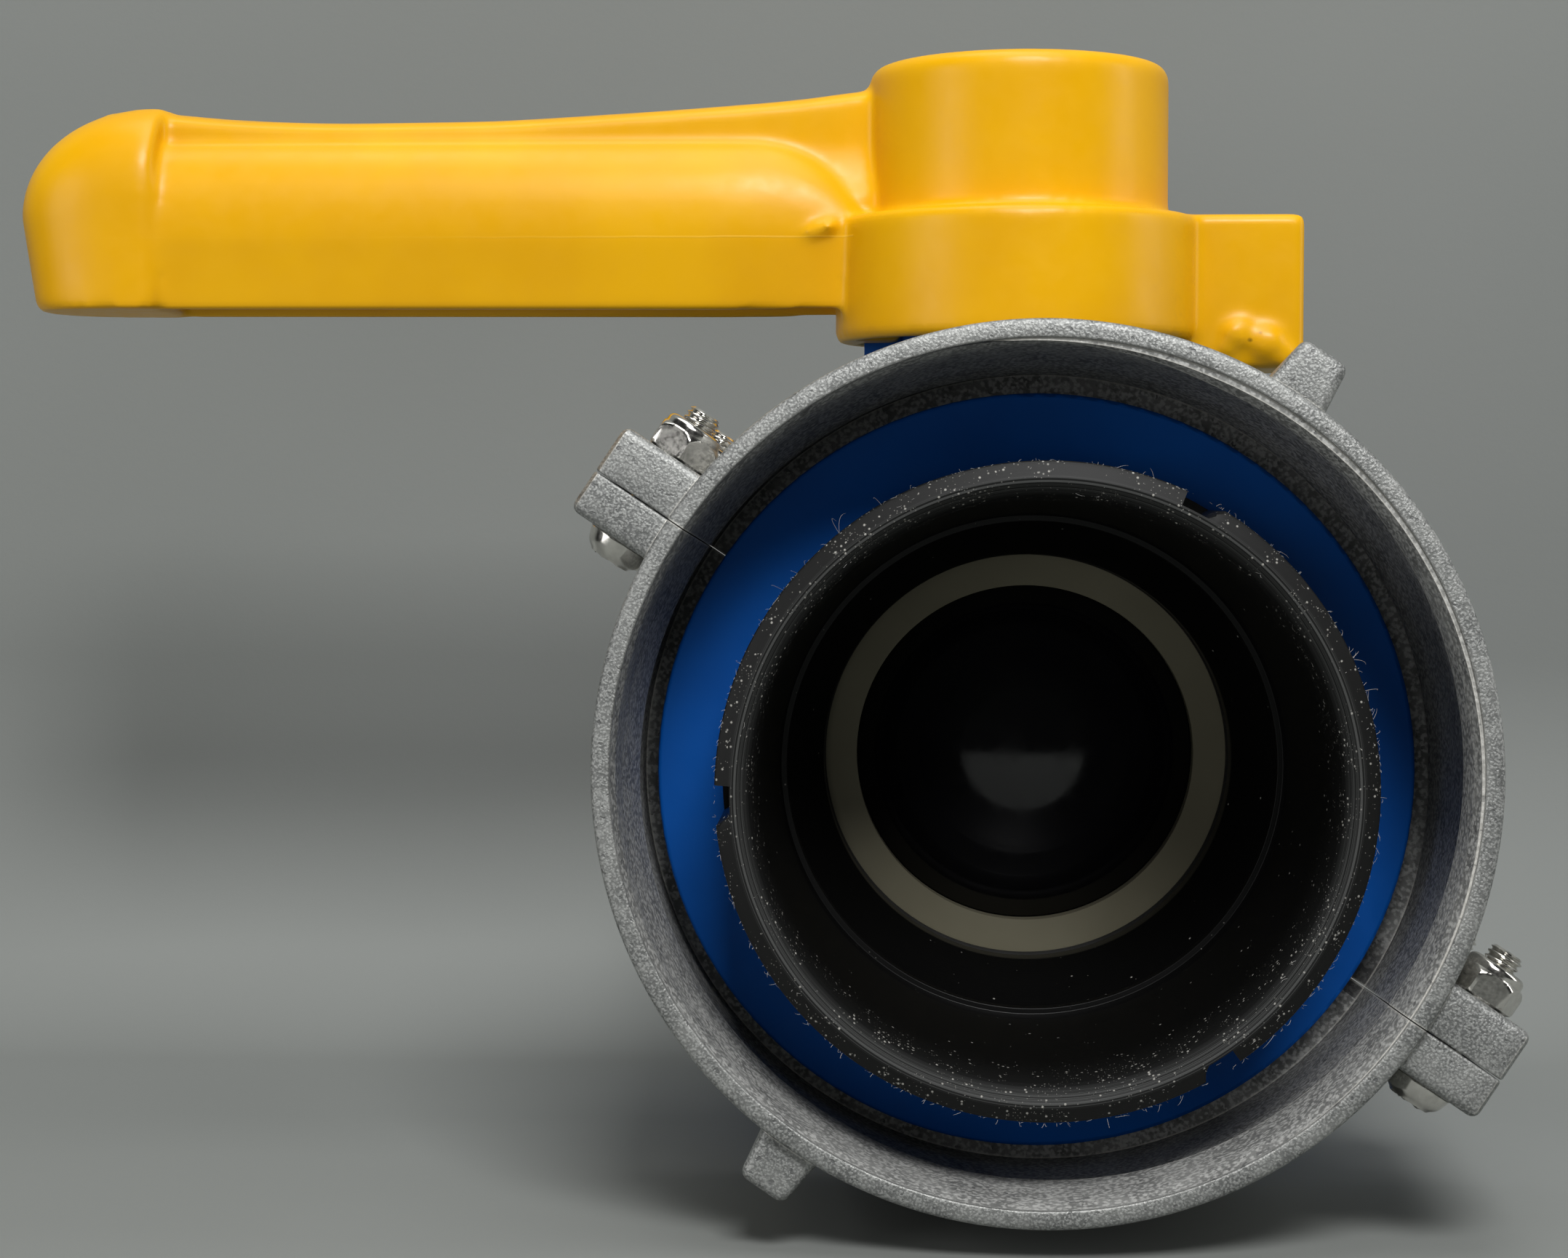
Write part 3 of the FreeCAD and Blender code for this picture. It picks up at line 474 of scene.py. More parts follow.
def make_nose_plastic():
    """Turned black plastic: fine rings from the tool, pale dust on the rim and just inside it,
    a scraped grey band round the rim's inner edge, and painted shade that darkens it deeper in the
    bore."""
    material, tree, shader, _ = finish_of("nose_plastic", gloss=0.25)
    place = place_in(tree, NOSE_PLACE)
    axes, radius = round_z(tree, place)
    section = add(tree, "CombineXYZ", {"X": radius, "Y": axes["Z"]}).outputs[0]
    rings = noise(tree, section, 3.0, 4.0, 0.7)
    near_rim = ramp(tree, axes["Z"], 74.0, 88.5)
    scraped = calc(tree, "MULTIPLY", ramp(tree, radius, 40.3, 41.6), ramp(tree, radius, 43.2, 42.2))
    scraped = calc(tree, "MULTIPLY", scraped, ramp(tree, noise(tree, section, 5.0, 3.0), 0.4, 0.6))
    scraped = calc(tree, "MULTIPLY", scraped, ramp(tree, axes["Z"], 86.5, 88.0))
    amount = calc(tree, "MULTIPLY_ADD", near_rim, 0.5, 0.012)
    specks = use(tree, LOOSE_DUST, Place=place, Per_mm=1.5, Amount=amount)["Mask"]
    fine = use(tree, LOOSE_DUST, Place=place, Per_mm=3.2, Amount=calc(tree, "MULTIPLY", amount, 0.8))
    dust = calc(tree, "MAXIMUM", specks, calc(tree, "MULTIPLY", fine["Mask"], 0.5))
    # Painted shade: the black grows darker away from the rim, deeper in the bore.
    black = blend(tree, near_rim, (0.0015, 0.0015, 0.0015, 1), (0.006, 0.0062, 0.006, 1))
    black = blend(tree, calc(tree, "MULTIPLY", scraped, 0.8), black, (0.075, 0.077, 0.075, 1))
    feed(tree, shader, Base_Color=blend(tree, dust, black, (0.36, 0.35, 0.32, 1)))
    feed(tree, shader, Roughness=calc(tree, "MULTIPLY_ADD", near_rim, 0.12, 0.42))
    bump(tree, shader, calc(tree, "MULTIPLY_ADD", dust, 0.6, rings), 0.02)
    return material


# ---------------------------------------------------------------- places
axis_height = joints["handle_turn"]["pos_m"][2] / MM
PARTING = 81.5
PARTING_HEIGHT = axis_height + PARTING
PINHOLES = [(38.2, -12.3, axis_height + 66.4), (36.6, -12.2, axis_height + 65.0)]
NOSE_PLACE = Matrix.Translation((0, 0, axis_height)) @ Matrix.Rotation(math.pi / 2, 4, "X")
SEAM_ANGLE, NUT_PITCH, NUT_YAW = (math.radians(a) for a in (-33.8, 4.1, 1.6))
NUT_PLACE = (Matrix.Translation(Vector(joints["nut_swivel"]["pos_m"]) / MM)
             @ Matrix.Rotation(math.pi / 2, 4, "X")
             @ Matrix.Rotation(-NUT_YAW, 4, "Y")
             @ Matrix.Rotation(-NUT_PITCH, 4, "X")
             @ Matrix.Rotation(SEAM_ANGLE, 4, "Z"))
RAISED = Matrix.Translation((0, 0, axis_height))
NUT_FRONT, NUT_MOUTH = 41.0, 58.9
RIDGE_PITCH, RIDGE_START = 30.0, 137.0

yellow_plastic = make_yellow()
cast_alloy = make_cast()
nose_plastic = make_nose_plastic()

CAD_FINISHES = {
    "valve_body": blue_plastic, "foot_inserts": brass, "nose_o_ring": rubber,
    "front_seat": seat_plastic, "rear_seat": seat_plastic, "front_seat_seal": rubber,
    "rear_seat_seal": rubber, "ball": ball_plastic, "stem": stem_plastic, "stem_o_rings": rubber,
    "stem_thrust_washer": seat_plastic, "handle_washer": plated_steel,
    "handle_screw": plated_steel, "lock_nut_inserts": nylon, "nose_tube": nose_plastic,
}
for name, material in CAD_FINISHES.items():
    nodes[name].data.materials.clear()
    nodes[name].data.materials.append(material)


# ---------------------------------------------------------------- union nut
NUT_R, NUT_BORE, NUT_COLLAR = 61.6, 58.4, 49.5
NUT_BACK, NUT_SHOULDER = -9.0, -0.6
SEAM_HALF_GAP = 0.08
RIDGE_END, RIDGE_HEIGHT, RIDGE_SLOPE = 2.3, 1.1, 13.0
RIDGE_STEP, RIDGE_RUN_IN, RIDGE_RUN_OUT = 0.22, 3.0, 2.0
FLARE_LENGTH = 2.5
EAR_REACH, EAR_SETBACK, EAR_UPPER, EAR_LOWER = 73.87, 1.8, 7.45, 6.3
SCREW_OFFSET, SCREW_SETBACK, SCREW_PITCH = 66.2, 8.7, 34.6


def wall_rows(angle):
    """(radius, height) rows of the nut's inside at each angle, from the mouth to the shoulder.
    The two turns of the ridge are knots that the rows follow; forward of each the radius grows
    back to the bore in a straight slope, and behind it the wall drops at once."""
    degrees = np.degrees(angle)
    mouth, floor = NUT_FRONT - 0.5, NUT_SHOULDER
    turns = (RIDGE_START - degrees) / 360 + np.array([0, 1])[:, None]
    lines = NUT_FRONT - RIDGE_PITCH * turns
    heights = RIDGE_HEIGHT * np.clip((NUT_FRONT - lines) / RIDGE_RUN_IN, 0, 1)
    heights *= np.clip((lines - RIDGE_END) / RIDGE_RUN_OUT + 1, 0, 1)
    knots = np.clip(lines, floor + 0.6, mouth - 0.6)
    level = np.ones_like(degrees)
    spans = [(mouth * level, knots[0] + RIDGE_STEP, 24), (knots[0], knots[1] + RIDGE_STEP, 46),
             (knots[1], floor * level, 24)]
    rows = [a + (b - a) * t for a, b, n in spans for t in np.linspace(0, 1, n)]
    height = np.array(rows)
    gone = np.zeros_like(height)
    for line, rise in zip(lines, heights):
        ahead = height - line
        gone += rise * np.clip(ahead / RIDGE_STEP, 0, 1) * np.clip(1 - ahead / RIDGE_SLOPE, 0, 1)
    flare = (NUT_MOUTH - NUT_BORE) * np.clip((height - mouth) / FLARE_LENGTH + 1, 0, 1)
    return NUT_BORE + flare - gone, height


def nut_shell(side):
    """Half of the ring: its section, an outer row and an inner row of as many points, is carried
    from seam to seam. Both ends lie in a plane just off the seam: at each radius they start at the
    angle whose sine is the half gap over that radius. Noise makes the front face uneven."""
    share = np.linspace(0, 1, 241)
    first = 0 if side > 0 else math.pi
    wall_r, wall_z = wall_rows(first + share * math.pi)
    front_split, back_split = 60.2, 56.0
    lip = rounded([(front_split, NUT_FRONT, 0), (NUT_MOUTH, NUT_FRONT, 0.35),
                   (NUT_MOUTH, NUT_FRONT - 0.5, 0)], closed=False)
    heel = rounded([(NUT_BORE, NUT_SHOULDER, 0), (NUT_COLLAR, NUT_SHOULDER, 0.5),
                    (NUT_COLLAR, NUT_BACK, 0.6), (back_split, NUT_BACK, 0)], closed=False)
    ends = [np.repeat(part[:, :, None], len(share), 2) for part in (lip, heel)]
    inner_r = np.vstack([ends[0][:, 0], wall_r, ends[1][1:, 0]])
    inner_z = np.vstack([ends[0][:, 1], wall_z, ends[1][1:, 1]])
    shell = rounded([(front_split, NUT_FRONT, 0), (NUT_R, NUT_FRONT, 0.95), (NUT_R, NUT_BACK, 0.9),
                     (back_split, NUT_BACK, 0)], steps=8, closed=False)
    shell = evenly(shell, len(inner_r))[1:-1]
    outer_r = np.repeat(shell[:, :1], len(share), 1)
    outer_z = np.repeat(shell[:, 1:], len(share), 1)
    radius = np.vstack([outer_r, inner_r[::-1][1:-1]])
    height = np.vstack([outer_z, inner_z[::-1][1:-1]])
    start = np.arcsin(SEAM_HALF_GAP / radius)
    turn = first + start + share * (math.pi - 2 * start)
    grid = np.stack([radius * np.cos(turn), radius * np.sin(turn), height], -1)
    wobble = 0.05 * ripple(grid, 9.0, 3) + 0.03 * ripple(grid, 3.1, 4)
    rim = np.clip((height - NUT_FRONT + 1.5) / 1.5, 0, 1)[..., None]
    grid = grid + rim * wobble[..., None] * np.array([0, 0, 1])
    return mesh_of(np.swapaxes(grid, 0, 1), ladder=True)


def across_seam(x, z):
    """Place across the seam in the nut's own frame, +Z towards the upper half."""
    return NUT_PLACE @ Matrix.Translation((x, 0, z)) @ Matrix.Rotation(-math.pi / 2, 4, "X")


def ear_shell(side, end):
    """Bolted ear: a rounded rectangle along the nut's axis, raised from the seam."""
    height = EAR_UPPER if side > 0 else EAR_LOWER
    inner, outer, low, high = NUT_BORE + 1.0, EAR_REACH, NUT_BACK + 0.2, NUT_FRONT - EAR_SETBACK
    corners = [(end * x, y, 1.3) for x, y in ((inner, low), (outer, low), (outer, high), (inner, high))]
    upright = Matrix.Rotation(math.pi / 2, 4, "X") @ Matrix.Scale(-1, 4, (0, 0, 1))
    points, quads = moved(slab(corners, SEAM_HALF_GAP, height, 1.25, 0.35), upright)
    return outward(points * (1, side, 1), quads)


def lug_shell(side):
    """Blunt rib in the middle of a half: a rounded trapezium raised along the nut's axis."""
    base, tip, low, high = 4.7, 3.6, NUT_BORE + 0.8, 68.6
    outline = ((-base, low), (base, low), (tip, high), (-tip, high))
    corners = [(side * x, side * y, 1.5) for x, y in outline]
    return slab(corners, NUT_BACK + 1, NUT_FRONT - EAR_SETBACK, 1.2)


for label, side in (("upper_nut_half", 1), ("lower_nut_half", -1)):
    shells = [nut_shell(side), lug_shell(side), ear_shell(side, -1), ear_shell(side, 1)]
    make(label + "_casting", [moved(s, NUT_PLACE) for s in shells], cast_alloy, "union_nut",
         [label])


# ---------------------------------------------------------------- clamp screws and lock nuts
SCREW_R, THREAD_PITCH, THREAD_DEPTH, THREAD_START, SCREW_TIP = 2.5, 0.8, 0.42, 11.05, 15.1
HEAD_R, HEAD_HEIGHT = 4.75, 3.1
ARM_REACH, ARM_HALF, RECESS_DEPTH, BURR_HEIGHT = 2.35, 0.5, 1.5, 0.22
NUT_FLATS, NUT_HEIGHT = 9.0, 5.4


def threaded_shank():
    """Rod whose radius falls by the thread's depth, a cosine wave of height less turns, over its
    free end, with a short lead-in."""
    steps = 48
    turn = np.linspace(0, 2 * math.pi, steps, endpoint=False)
    rows = np.arange(THREAD_START + 0.05, SCREW_TIP, THREAD_PITCH / 10)
    height = np.r_[-EAR_LOWER - 0.5, THREAD_START - 0.05, rows, SCREW_TIP, SCREW_TIP][:, None]
    phase = (height / THREAD_PITCH - turn / (2 * math.pi)) % 1
    groove = THREAD_DEPTH * (0.5 - 0.5 * np.cos(2 * math.pi * phase)) * (height > THREAD_START)
    lead = SCREW_R - 0.55 + 1.2 * (SCREW_TIP - height)
    radius = np.minimum(SCREW_R - groove, lead)
    radius[0], radius[-1] = 0, 0
    radius = np.vstack([radius[:1], np.full((1, steps), SCREW_R - 0.02), radius[1:]])
    height = np.vstack([height[:1], height]).repeat(steps, 1)
    return mesh_of(np.stack([radius * np.cos(turn), radius * np.sin(turn), height], -1))


def pan_head(spin):
    """Pan head with a cross recess: a dome of rings, sunk where a point lies within either arm
    of the cross, with a raised burr along the arms' edges."""
    turn = np.linspace(0, 2 * math.pi, 96, endpoint=False)
    under, crown = -EAR_LOWER, -EAR_LOWER - HEAD_HEIGHT
    edge = rounded([(0.0, crown, 0), (HEAD_R - 1.0, crown + 0.15, 2.4), (HEAD_R, under, 0.25),
                    (0.0, under, 0)], steps=10, closed=False)
    rings = np.linspace(0, 2.9, 22)
    profile = np.vstack([np.stack([rings, crown + 0.02 * rings], 1), edge[edge[:, 0] > 2.95]])
    profile = np.vstack([profile, [[0, under]]])
    radius, height = profile[:, :1], np.repeat(profile[:, 1:], 96, 1)
    x, y = radius * np.cos(turn + spin), radius * np.sin(turn + spin)
    arm = np.minimum(np.maximum(np.abs(x) - ARM_REACH, np.abs(y) - ARM_HALF),
                     np.maximum(np.abs(y) - ARM_REACH, np.abs(x) - ARM_HALF))
    crown_rows = (np.arange(len(profile)) < len(rings) + 8)[:, None]
    sink = RECESS_DEPTH * np.clip(-arm / 0.18, 0, 1) * np.clip(1.25 - radius / 3.2, 0.3, 1)
    burr = BURR_HEIGHT * np.clip(1 - np.abs(arm - 0.15) / 0.22, 0, 1)
    burr *= np.clip(ripple(np.stack([x, y, 0 * x], -1), 1.6, 7) * 2.5, 0, 1)
    height = height + crown_rows * (sink - burr)
    return mesh_of(np.stack([radius * np.cos(turn), radius * np.sin(turn), height], -1))


def lock_nut(spin):
    """Hexagon nut with a domed collar: the hexagon's radius is half its width across flats over
    the cosine of the angle from the nearest flat, cut down by the chamfer cones."""
    turn = np.linspace(0, 2 * math.pi, 144, endpoint=False)
    away = (turn + spin) % (math.pi / 3) - math.pi / 6
    hexagon = NUT_FLATS / 2 / np.cos(away)
    bore = SCREW_R - 0.1
    share = np.linspace(0, 1, 9)
    under = [(bore, 0.02), (4.3, 0.02), (4.95, 0.35), (5.3, 0.7)]
    chamfer = np.column_stack([5.25 - 0.85 * share ** 2, 2.5 + 1.5 * share])
    collar = rounded([(4.25, 4.0, 0), (4.2, NUT_HEIGHT, 0.95), (3.0, NUT_HEIGHT, 0.25),
                      (2.75, NUT_HEIGHT - 0.6, 0), (bore, NUT_HEIGHT - 0.7, 0)], closed=False)
    rows = np.vstack([under, chamfer, collar])
    radius = np.minimum(rows[:, :1], hexagon)
    height = np.repeat(EAR_UPPER + rows[:, 1:], len(turn), 1)
    grid = np.stack([radius * np.cos(turn), radius * np.sin(turn), height], -1)
    return mesh_of(grid, wrap_rows=True)


screw_places = [(x, z) for x in (-SCREW_OFFSET, SCREW_OFFSET)
                for z in (NUT_FRONT - SCREW_SETBACK, NUT_FRONT - SCREW_SETBACK - SCREW_PITCH)]
SPINS = (0.35, 1.3, 2.1, 0.8)
screws, locks = [], []
for (x, z), spin in zip(screw_places, SPINS):
    place = across_seam(x, z)
    screws += [moved(threaded_shank(), place), moved(pan_head(spin), place)]
    locks.append(moved(lock_nut(spin), place))
make("clamp_screws_plated", screws, plated_steel, "union_nut", ["clamp_screws"])
make("lock_nuts_plated", locks, plated_steel, "union_nut", ["lock_nuts"], crease=28)


# ---------------------------------------------------------------- nose tube
TUBE_R, TUBE_RIM, TUBE_FLANGE, TUBE_SEAT = 45.0, 90.0, 59.0, 22.5
NOTCHES = ((61.7, 1), (182.4, -1), (-57.6, 1))
NOTCH_DEPTH, NOTCH_LENGTH, NOTCH_HALF = 2.1, 22.0, 3.6


def notch_depth(degrees):
    """Depth of the spanner notches at each angle: square at one end, a short ramp at the other."""
    depth = 0 * degrees
    for middle, square_end in NOTCHES:
        away = ((degrees - middle + 180) % 360 - 180) * square_end / NOTCH_HALF
        inside = (away < 1) & (away > -1)
        ramped = np.clip((away + 1) / 0.42, 0, 1) ** 1.4
        depth = depth + NOTCH_DEPTH * inside * ramped
    return depth


def tube_shell():
    """Nose tube: its section carried round the waterway. Along the notches every row is drawn in
    to their floor, and two columns lie close at each square end. The throat has tool steps."""
    rim, notch_end = TUBE_RIM, TUBE_RIM - NOTCH_LENGTH
    profile = np.vstack([
        rounded([(40.0, TUBE_SEAT, 0.5), (40.0, 26.5, 0), (38.0, 26.5, 0), (38.0, 29.0, 0),
                 (40.0, 29.0, 0), (40.0, TUBE_FLANGE, 0.2), (TUBE_R, TUBE_FLANGE, 0.3),
                 (TUBE_R, notch_end - 0.01, 0)], steps=3, closed=False),
        [(TUBE_R, notch_end), (TUBE_R, rim - 3.0), (TUBE_R, rim - 1.5), (TUBE_R - 0.15, rim - 1.1),
         (TUBE_R - 0.5, rim - 0.85), (TUBE_R - 1.3, rim - 0.5)],
        rounded([(TUBE_R - 1.9, rim - 0.25, 0), (TUBE_R - 2.3, rim, 0.1), (42.0, rim - 0.1, 0.4),
                 (40.4, rim - 2.6, 0.5), (40.1, rim - 3.4, 0.2), (37.6, 52.0, 0.8), (37.3, 49.5, 0.2),
                 (36.4, 49.5, 0.15), (36.4, 47.4, 0.3), (31.2, 35.7, 1.2), (31.2, 31.6, 0.2),
                 (34.1, 31.6, 0), (34.1, TUBE_SEAT, 0.3)], steps=4, closed=False)])
    edges = np.concatenate([middle + end * NOTCH_HALF * np.array([0.999, 1.001])
                            for middle, end in NOTCHES])
    degrees = np.sort(np.r_[np.linspace(0, 360, 360, endpoint=False), edges % 360])
    radius, height = (np.repeat(profile[:, i:i + 1], len(degrees), 1) for i in (0, 1))
    floor = np.where(height >= notch_end, TUBE_R - notch_depth(degrees), TUBE_R)
    radius, turn = np.minimum(radius, floor), np.radians(degrees)
    grid = np.stack([radius * np.cos(turn), radius * np.sin(turn), height], -1)
    return mesh_of(grid, wrap_rows=True)


make("nose_tube_turned", [moved(tube_shell(), NOSE_PLACE)], nose_plastic, "valve",
     ["nose_tube"], crease=30)


def lint_shells(count=520):
    """Short fibres of lint caught on the nose rim: thin triangular strands, each along a random
    arc that leaves the surface, swings sideways and comes partly back."""
    rng = np.random.default_rng(11)
    turn = rng.uniform(0, 2 * math.pi, count)
    on_edge = rng.random(count) < 0.72
    start_r = np.where(on_edge, TUBE_R - 0.1, rng.uniform(40.6, 44.2, count))
    start_z = TUBE_RIM - np.where(on_edge, rng.uniform(0.1, 2.0, count), 0.2 + 1.0 * (start_r < 42.2))
    length = rng.gamma(2.0, 0.2, count) + 0.15
    t = np.linspace(0, 1, 7)
    out, side, front = (rng.normal(size=count) for _ in range(3))
    bend = rng.uniform(0.6, 2.6, count)
    sign = np.where(on_edge, 1, -0.5)
    away = sign[:, None] * np.abs(out)[:, None] * np.sin(t * bend[:, None]) * 0.6
    along = side[:, None] * t * 0.8
    lift = np.abs(front)[:, None] * np.sin(t * bend[:, None] * 0.8) * 0.35
    radius = start_r[:, None] + length[:, None] * away
    angle = turn[:, None] + length[:, None] * along / TUBE_R
    height = np.minimum(start_z[:, None] + length[:, None] * lift, TUBE_RIM + 0.6)
    line = np.stack([radius * np.cos(angle), radius * np.sin(angle), height], -1)
    thick = 0.022 * np.array([1, 1, 0.9, 0.8, 0.7, 0.5, 0.3])
    corner = 2 * math.pi * np.arange(3) / 3
    ring = np.stack([np.cos(corner), np.sin(corner), 0.6 * np.sin(corner + 1)], -1)
    strands = line[:, :, None] + thick[None, :, None, None] * ring[None, None]
    tips = strands[:, [0, -1]].mean(2, keepdims=True).repeat(3, 2)
    return [mesh_of(strand) for strand in np.concatenate([tips[:, :1], strands, tips[:, 1:]], 1)]


make("nose_lint", [moved(s, NOSE_PLACE) for s in lint_shells()], lint, "valve")


# ---------------------------------------------------------------- handle
HUB_R, HUB_TOP, SKIRT_R, SKIRT_TOP, SKIRT_BASE, SKIRT_ROOF = 24.4, 110.1, 30.0, 85.4, 65.2, 80.5
HOLLOW_R, SOCKET_R, SOCKET_ROOF, WELL_R, WELL_FLOOR, SCREW_HOLE_R = 26.6, 9.4, 98.8, 8.6, 102.0, 3.2
GRIP_HALF, GRIP_BASE, GRIP_TOP, GRIP_POWER, GRIP_DRAFT = 12.5, 70.4, 98.8, 2.35, 0.1
GRIP_END, GRIP_ROOT, ROOT_LENGTH, CHANNEL_HALF, CHANNEL_DEPTH = -147, -43, 17.4, 9.0, 13.0
SPINE_LOW, SPINE_HALF, SPINE_FOOT, SPINE_ROUND = 84.0, 5.4, 2.6, 2.2
LEVER_TIP, BULB_NECK, BULB_CORE = 164.8, 143.6, 142.4
BULB_SHOULDER, BULB_HEIGHT, BULB_HALF = 85.8, 17.9, 13.6


def hub_shell():
    """Hub and skirt: one closed section, with the screw's well above and the stem's socket and
    the skirt's hollow below, carried round the stem."""
    return spun(rounded([
        (SOCKET_R, SKIRT_ROOF, 0), (HOLLOW_R, SKIRT_ROOF, 0.5), (HOLLOW_R, SKIRT_BASE, 0.5),
        (SKIRT_R, SKIRT_BASE, 1.0), (SKIRT_R, SKIRT_TOP, 1.5), (HUB_R, SKIRT_TOP, 0.8),
        (HUB_R, HUB_TOP, 2.6), (WELL_R, HUB_TOP, 0.8), (WELL_R, WELL_FLOOR, 0),
        (SCREW_HOLE_R, WELL_FLOOR, 0), (SCREW_HOLE_R, SOCKET_ROOF, 0),
        (SOCKET_R, SOCKET_ROOF, 0)]), 240)


def grip_shell():
    """Grip: an inverted channel. Above the parting line its outside is a superellipse and below
    it a straight draft. At the root its height falls in a quarter ellipse and it narrows a little.
    The outer and the inner row have as many points."""
    quarter = np.linspace(0, math.pi / 2, 60)
    x = np.r_[np.linspace(GRIP_END, GRIP_ROOT - 1, 60), GRIP_ROOT + ROOT_LENGTH * np.sin(quarter)]
    fall = np.clip((x - GRIP_ROOT) / (ROOT_LENGTH + 0.5), 0, 1)
    top = PARTING + (GRIP_TOP - PARTING) * np.sqrt(1 - fall ** 2)
    base = np.interp(x, [GRIP_END, -26.3], [GRIP_BASE, GRIP_BASE - 0.5])
    ease = np.clip((x - GRIP_ROOT + 7) / 24, 0, 1)
    half = GRIP_HALF - 1.5 * ease ** 2 * (3 - 2 * ease)
    arch = np.linspace(math.pi, 0, 40)
    across = np.sign(np.cos(arch)) * np.abs(np.cos(arch)) ** (2 / GRIP_POWER)
    rise = np.sin(arch) ** (2 / GRIP_POWER)
    sections = []
    for station, w, low, high in zip(x, half, base, top):
        over = np.column_stack([w * across, PARTING + (high - PARTING) * rise])
        foot = w - GRIP_DRAFT * (PARTING - low)
        mouth, roof = CHANNEL_HALF + 0.3, low + CHANNEL_DEPTH
        channel = [(-mouth, low), (-CHANNEL_HALF, roof), (CHANNEL_HALF, roof), (mouth, low)]
        outer = evenly(np.vstack([[-foot, low], over, [foot, low]]), 64)
        inner = evenly(np.array(channel), 64)
        loop = np.vstack([outer, inner[::-1]])
        sections.append(np.column_stack([np.full(len(loop), station), loop]))
    return mesh_of(np.array(sections), ladder=True)


def rib_shells():
    """Cross ribs in the grip's channel and the solid ends of it: rectangles raised along Z."""
    half, shells = CHANNEL_HALF + 0.8, []
    for near, far in ((26.5, 34.0), (66.0, 69.5), (101.5, 105.0), (137.0, -GRIP_END)):
        corners = [(-far, -half, 0.2), (-near, -half, 0.2), (-near, half, 0.2), (-far, half, 0.2)]
        shells.append(slab(corners, GRIP_BASE + 3, GRIP_BASE + 15, 0.2))
    return shells


def spine_shell():
    """Web on the grip: its half width grows as a power of the depth towards its foot, its crown
    closes in a root of a parabola, and its top is a smoothed line that climbs to the hub."""
    x = -np.linspace(150, 8, 120)
    top = np.interp(x, [-150, -143.6, -137, -129, -113, -85, -58, -35, -25.5, -8],
                    [103.4, 103.6, 102.9, 102.1, 101.5, 101.8, 103.4, 105.1, 106.6, 107.6])
    for _ in range(3):
        top = np.convolve(np.pad(top, 3, "edge"), np.ones(7) / 7, "valid")
    share = np.linspace(0, 1, 36)
    sections = []
    for station, height in zip(x, top):
        z = SPINE_LOW + (height - SPINE_LOW) * share
        flare = SPINE_HALF + SPINE_FOOT * np.clip((97.5 - z) / 9.0, 0, 1) ** 1.5
        crown = 1 - np.clip((z - height) / SPINE_ROUND + 1, 0, 1) ** 2
        inner = np.minimum(flare, SPINE_HALF + 0.2)
        width = inner * np.sqrt(np.clip(crown, 0.02, 1)) + flare - inner
        line = np.column_stack([np.full(len(z), station), width, z])
        sections.append(np.vstack([line * (1, -1, 1), line[::-1]]))
    return mesh_of(np.array(sections), ladder=True)


def bulb_shell():
    """Bulb at the lever's end: level outlines, each a half superellipse, whose reach and width
    follow quarter ellipses above the shoulder and a straight draft below it."""
    lift = np.sin(np.linspace(0, 1.55, 36)[1:])
    z = np.r_[np.linspace(GRIP_BASE, BULB_SHOULDER, 16), BULB_SHOULDER + BULB_HEIGHT * lift]
    above = np.clip((z - BULB_SHOULDER) / BULB_HEIGHT, 0, 1)
    below = (BULB_SHOULDER - z) / (BULB_SHOULDER - GRIP_BASE)
    reach = np.where(z < BULB_SHOULDER, LEVER_TIP - 2.4 * below,
                     BULB_NECK + (LEVER_TIP - BULB_NECK) * np.sqrt(1 - above ** 2))
    reach -= 0.9 * np.clip(1 - (z - GRIP_BASE) / 0.9, 0, 1) ** 2
    width = BULB_HALF * np.clip(1 - np.clip((z - 87.0) / 17.4, 0, 1) ** 2.4, 0.02, 1) ** 0.5
    turn = np.linspace(-math.pi / 2, math.pi / 2, 47)
    cos, sin = np.cos(turn), np.sin(turn)
    round_x = BULB_CORE + (reach - BULB_CORE)[:, None] * np.abs(cos) ** 0.75
    round_y = width[:, None] * np.sign(sin) * np.abs(sin) ** 0.85
    grid = np.stack([-round_x, round_y, np.repeat(z[:, None], len(turn), 1)], -1)
    inward = (2.0, 0, 0) - 0.06 * grid[:, [0, -1]] * (0, 1, 0)
    back = grid[:, [0, -1]] + inward
    middle = back.mean(1, keepdims=True)
    return mesh_of(np.concatenate([back[:, :1], grid, back[:, 1:], middle], 1), ladder=True)


def block_shell():
    """Stop block beside the skirt: a rounded rectangle raised along Z."""
    near, far, half, low = 25.4, 45.6, 10.5, 60.5
    corners = [(near, -half, 1.0), (far, -half, 1.0), (far, half, 1.0), (near, half, 1.0)]
    return slab(corners, low, SKIRT_TOP, 0.9)


def key_shell():
    """Key inside the skirt that meets the body's stops: the quadrilateral between two radii, 12
    degrees either side of the lever, raised along Z."""
    inner, outer, half = 19.7, 28, math.radians(12)
    polar = ((inner, half), (outer, half), (outer, -half), (inner, -half))
    corners = [(-radius * math.cos(angle), radius * math.sin(angle), 0.3) for radius, angle in polar]
    return slab(corners, SKIRT_BASE + 0.2, SKIRT_ROOF + 1, 0.3)


def lump(centre, size, seed):
    """Ellipsoid whose radius varies with noise: what is left of a gate or a flash."""
    turn = np.linspace(0, 2 * math.pi, 32, endpoint=False)
    tilt = np.linspace(0, math.pi, 20)[:, None]
    level = np.sin(tilt)
    way = np.stack([level * np.cos(turn), level * np.sin(turn), np.cos(tilt) + 0 * turn], -1)
    roughness = 0.396
    radius = 1 + roughness * ripple(way, 1.6, seed)[..., None]
    return mesh_of(np.array(centre) + way * radius * np.array(size))


